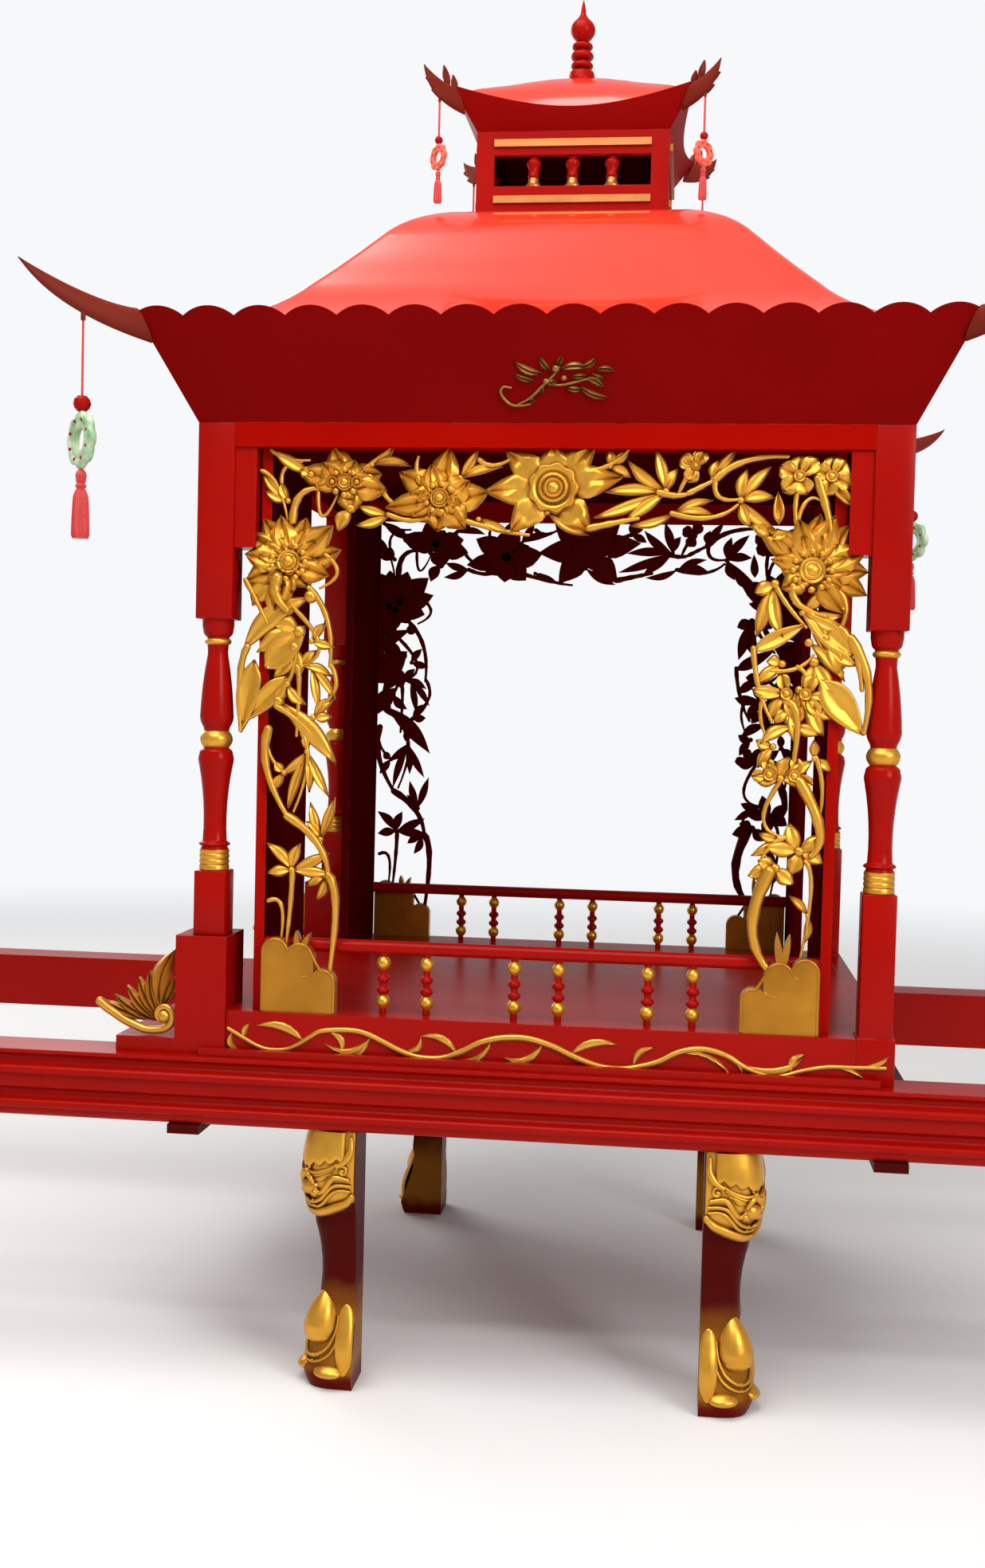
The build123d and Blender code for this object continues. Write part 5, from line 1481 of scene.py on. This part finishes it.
def make_tassel(head, size):
    """A tassel that hangs from its head, its strands spread below the neck."""
    bm = bmesh.new()
    add_turned(bm, head, [(height * size, radius * size) for height, radius in TASSEL], -UP, TASSEL_SIDES)
    for v in bm.verts:
        if head.z - v.co.z > TASSEL_NECK * MM * size:
            away = v.co - head
            strand = round(math.atan2(away.y, away.x) * TASSEL_SIDES / math.tau)
            swing = 1 + (STRAND_SWING if strand % 2 else -STRAND_SWING)
            v.co.x = head.x + away.x * swing
            v.co.y = head.y + away.y * swing
    return bm


def make_pendants():
    for name, horns, out, size, ring_finish, ring_slot in PENDANTS:
        half_x, half_y, top = board_corners[horns]
        length = CORD_LENGTH * size
        for number, (end, side) in enumerate(((-1, -1), (1, -1), (1, 1), (-1, 1)), 1):
            exit_point = Vector((end * (half_x + out), side * (half_y + out), top - PEG_DROP * MM))
            cord = hang_cord(f"{name}_cord_{number}", exit_point, length)
            bead_middle = exit_point - UP * (length + BEAD_RADIUS * size)
            ring_middle = bead_middle - UP * (BEAD_RADIUS + RING_RADIUS - RING_OVERLAP) * size
            head = ring_middle - UP * RING_RADIUS * size
            bead = bmesh.new()
            bmesh.ops.create_icosphere(
                bead, subdivisions=2, radius=BEAD_RADIUS * size, matrix=Matrix.Translation(bead_middle)
            )
            turn = Matrix.Rotation(math.atan2(end, -side), 4, "Z") @ Matrix.Rotation(math.pi / 2, 4, "X")
            place = Matrix.Translation(ring_middle) @ turn
            bead_piece = make_piece(
                f"{name}_bead_{number}", bead, RED, "red_lacquer", "pendant_rings", sharp=10
            )
            ring, dots, tassel = make_ring(place, size), make_dots(place, size), make_tassel(head, size)
            make_piece(f"{name}_charm_{number}", ring, ring_finish, ring_slot, "pendant_rings", sharp=50)
            make_piece(f"{name}_dots_{number}", dots, RED, "red_lacquer", "pendant_rings")
            make_piece(f"{name}_tassel_{number}", tassel, SILK, "silk", "pendant_tassels", sharp=50)


make_pendants()

# Stage, lamps and camera
BACKDROP = (0.93, 0.94, 0.96)
FLOOR_TONE = (0.80, 0.79, 0.77)
FLOOR_HALF = 14
FADE_START, FADE_END = 2.0, 6.5
LIGHTING, SEEN = 0.45, 1.0
LAMPS = (
    # name, place, aim, width and height, power
    ("top_softbox", (-0.6, -1.2, 3.8), (0, 0, 1.0), (2.6, 2.6), 105),
    ("front_softbox", (2.6, -3.0, 2.2), (0, 0, 0.9), (1.4, 1.4), 70),
    ("strip_light", (0.2, -2.4, 2.9), (0, -0.4, 0.5), (3.0, 0.25), 26),
    ("rear_softbox", (-2.6, 2.8, 2.6), (0, 0, 1.0), (2.4, 2.4), 60),
)


def make_stage():
    """A pale floor that fades into the surroundings."""
    finish, tree, place = start_finish("studio_floor_finish")
    set_shader(tree, {"Base Color": FLOOR_TONE, "Roughness": 0.9})
    away = add_node(tree, "VectorMath", {0: place}, operation="LENGTH")["Value"]
    reach = {"Value": away, "From Min": FADE_START, "From Max": FADE_END}
    fade = add_node(tree, "MapRange", reach, interpolation_type="SMOOTHSTEP")["Result"]
    glow = add_node(tree, "Emission", {"Color": BACKDROP})[0]
    blend = add_node(tree, "MixShader", {0: fade, 1: tree.nodes["Principled BSDF"].outputs[0], 2: glow})[0]
    feed(tree, tree.nodes["Material Output"], {"Surface": blend})
    bm = bmesh.new()
    bmesh.ops.create_grid(bm, x_segments=1, y_segments=1, size=FLOOR_HALF)
    mesh = bpy.data.meshes.new("studio_floor")
    bm.to_mesh(mesh)
    bm.free()
    mesh.materials.append(finish)
    floor = bpy.data.objects.new("studio_floor", mesh)
    scene.collection.objects.link(floor)


def make_world():
    """Pale surroundings, brighter where they are seen than where they light or are mirrored."""
    world = bpy.data.worlds.new("studio_world")
    scene.world = world
    world.use_nodes = True
    tree = world.node_tree
    seen = add_node(tree, "LightPath", {})["Is Camera Ray"]
    feed(tree, tree.nodes["Background"], {"Color": BACKDROP, "Strength": grey(tree, seen, LIGHTING, SEEN)})


def make_lamp(name, place, target, size, power):
    lamp = bpy.data.lights.new(name, "AREA")
    lamp.shape = "RECTANGLE"
    lamp.size, lamp.size_y = size
    lamp.energy = power
    holder = bpy.data.objects.new(name, lamp)
    holder.location = place
    holder.rotation_euler = (Vector(target) - Vector(place)).to_track_quat("-Z", "Y").to_euler()
    scene.collection.objects.link(holder)


CAMERA_PLACE = Vector((0.186, -2.477, 0.870))
CAMERA_YAW, CAMERA_DIP, CAMERA_ROLL = math.radians(6.74), math.radians(2.31), math.radians(1.41)
PHOTO_WIDTH = 1236
FOCAL_PIXELS = 2077
SENSOR = 36


def make_camera():
    """The photograph's own viewpoint."""
    level = Vector((math.cos(CAMERA_YAW), math.sin(CAMERA_YAW), 0))
    ahead = Vector((-level.y, level.x, 0)) * math.cos(CAMERA_DIP) - UP * math.sin(CAMERA_DIP)
    below = ahead.cross(level)
    right = math.cos(CAMERA_ROLL) * level - math.sin(CAMERA_ROLL) * below
    down = math.sin(CAMERA_ROLL) * level + math.cos(CAMERA_ROLL) * below
    lens = bpy.data.cameras.new("viewpoint")
    lens.sensor_fit = "HORIZONTAL"
    lens.sensor_width = SENSOR
    lens.lens = FOCAL_PIXELS * SENSOR / PHOTO_WIDTH
    camera = bpy.data.objects.new("viewpoint", lens)
    turn = Matrix((right, -down, -ahead)).transposed().to_4x4()
    camera.matrix_world = Matrix.Translation(CAMERA_PLACE) @ turn
    scene.collection.objects.link(camera)
    scene.camera = camera


make_stage()
make_world()
for lamp in LAMPS:
    make_lamp(*lamp)
make_camera()
scene.view_settings.view_transform = "Standard"
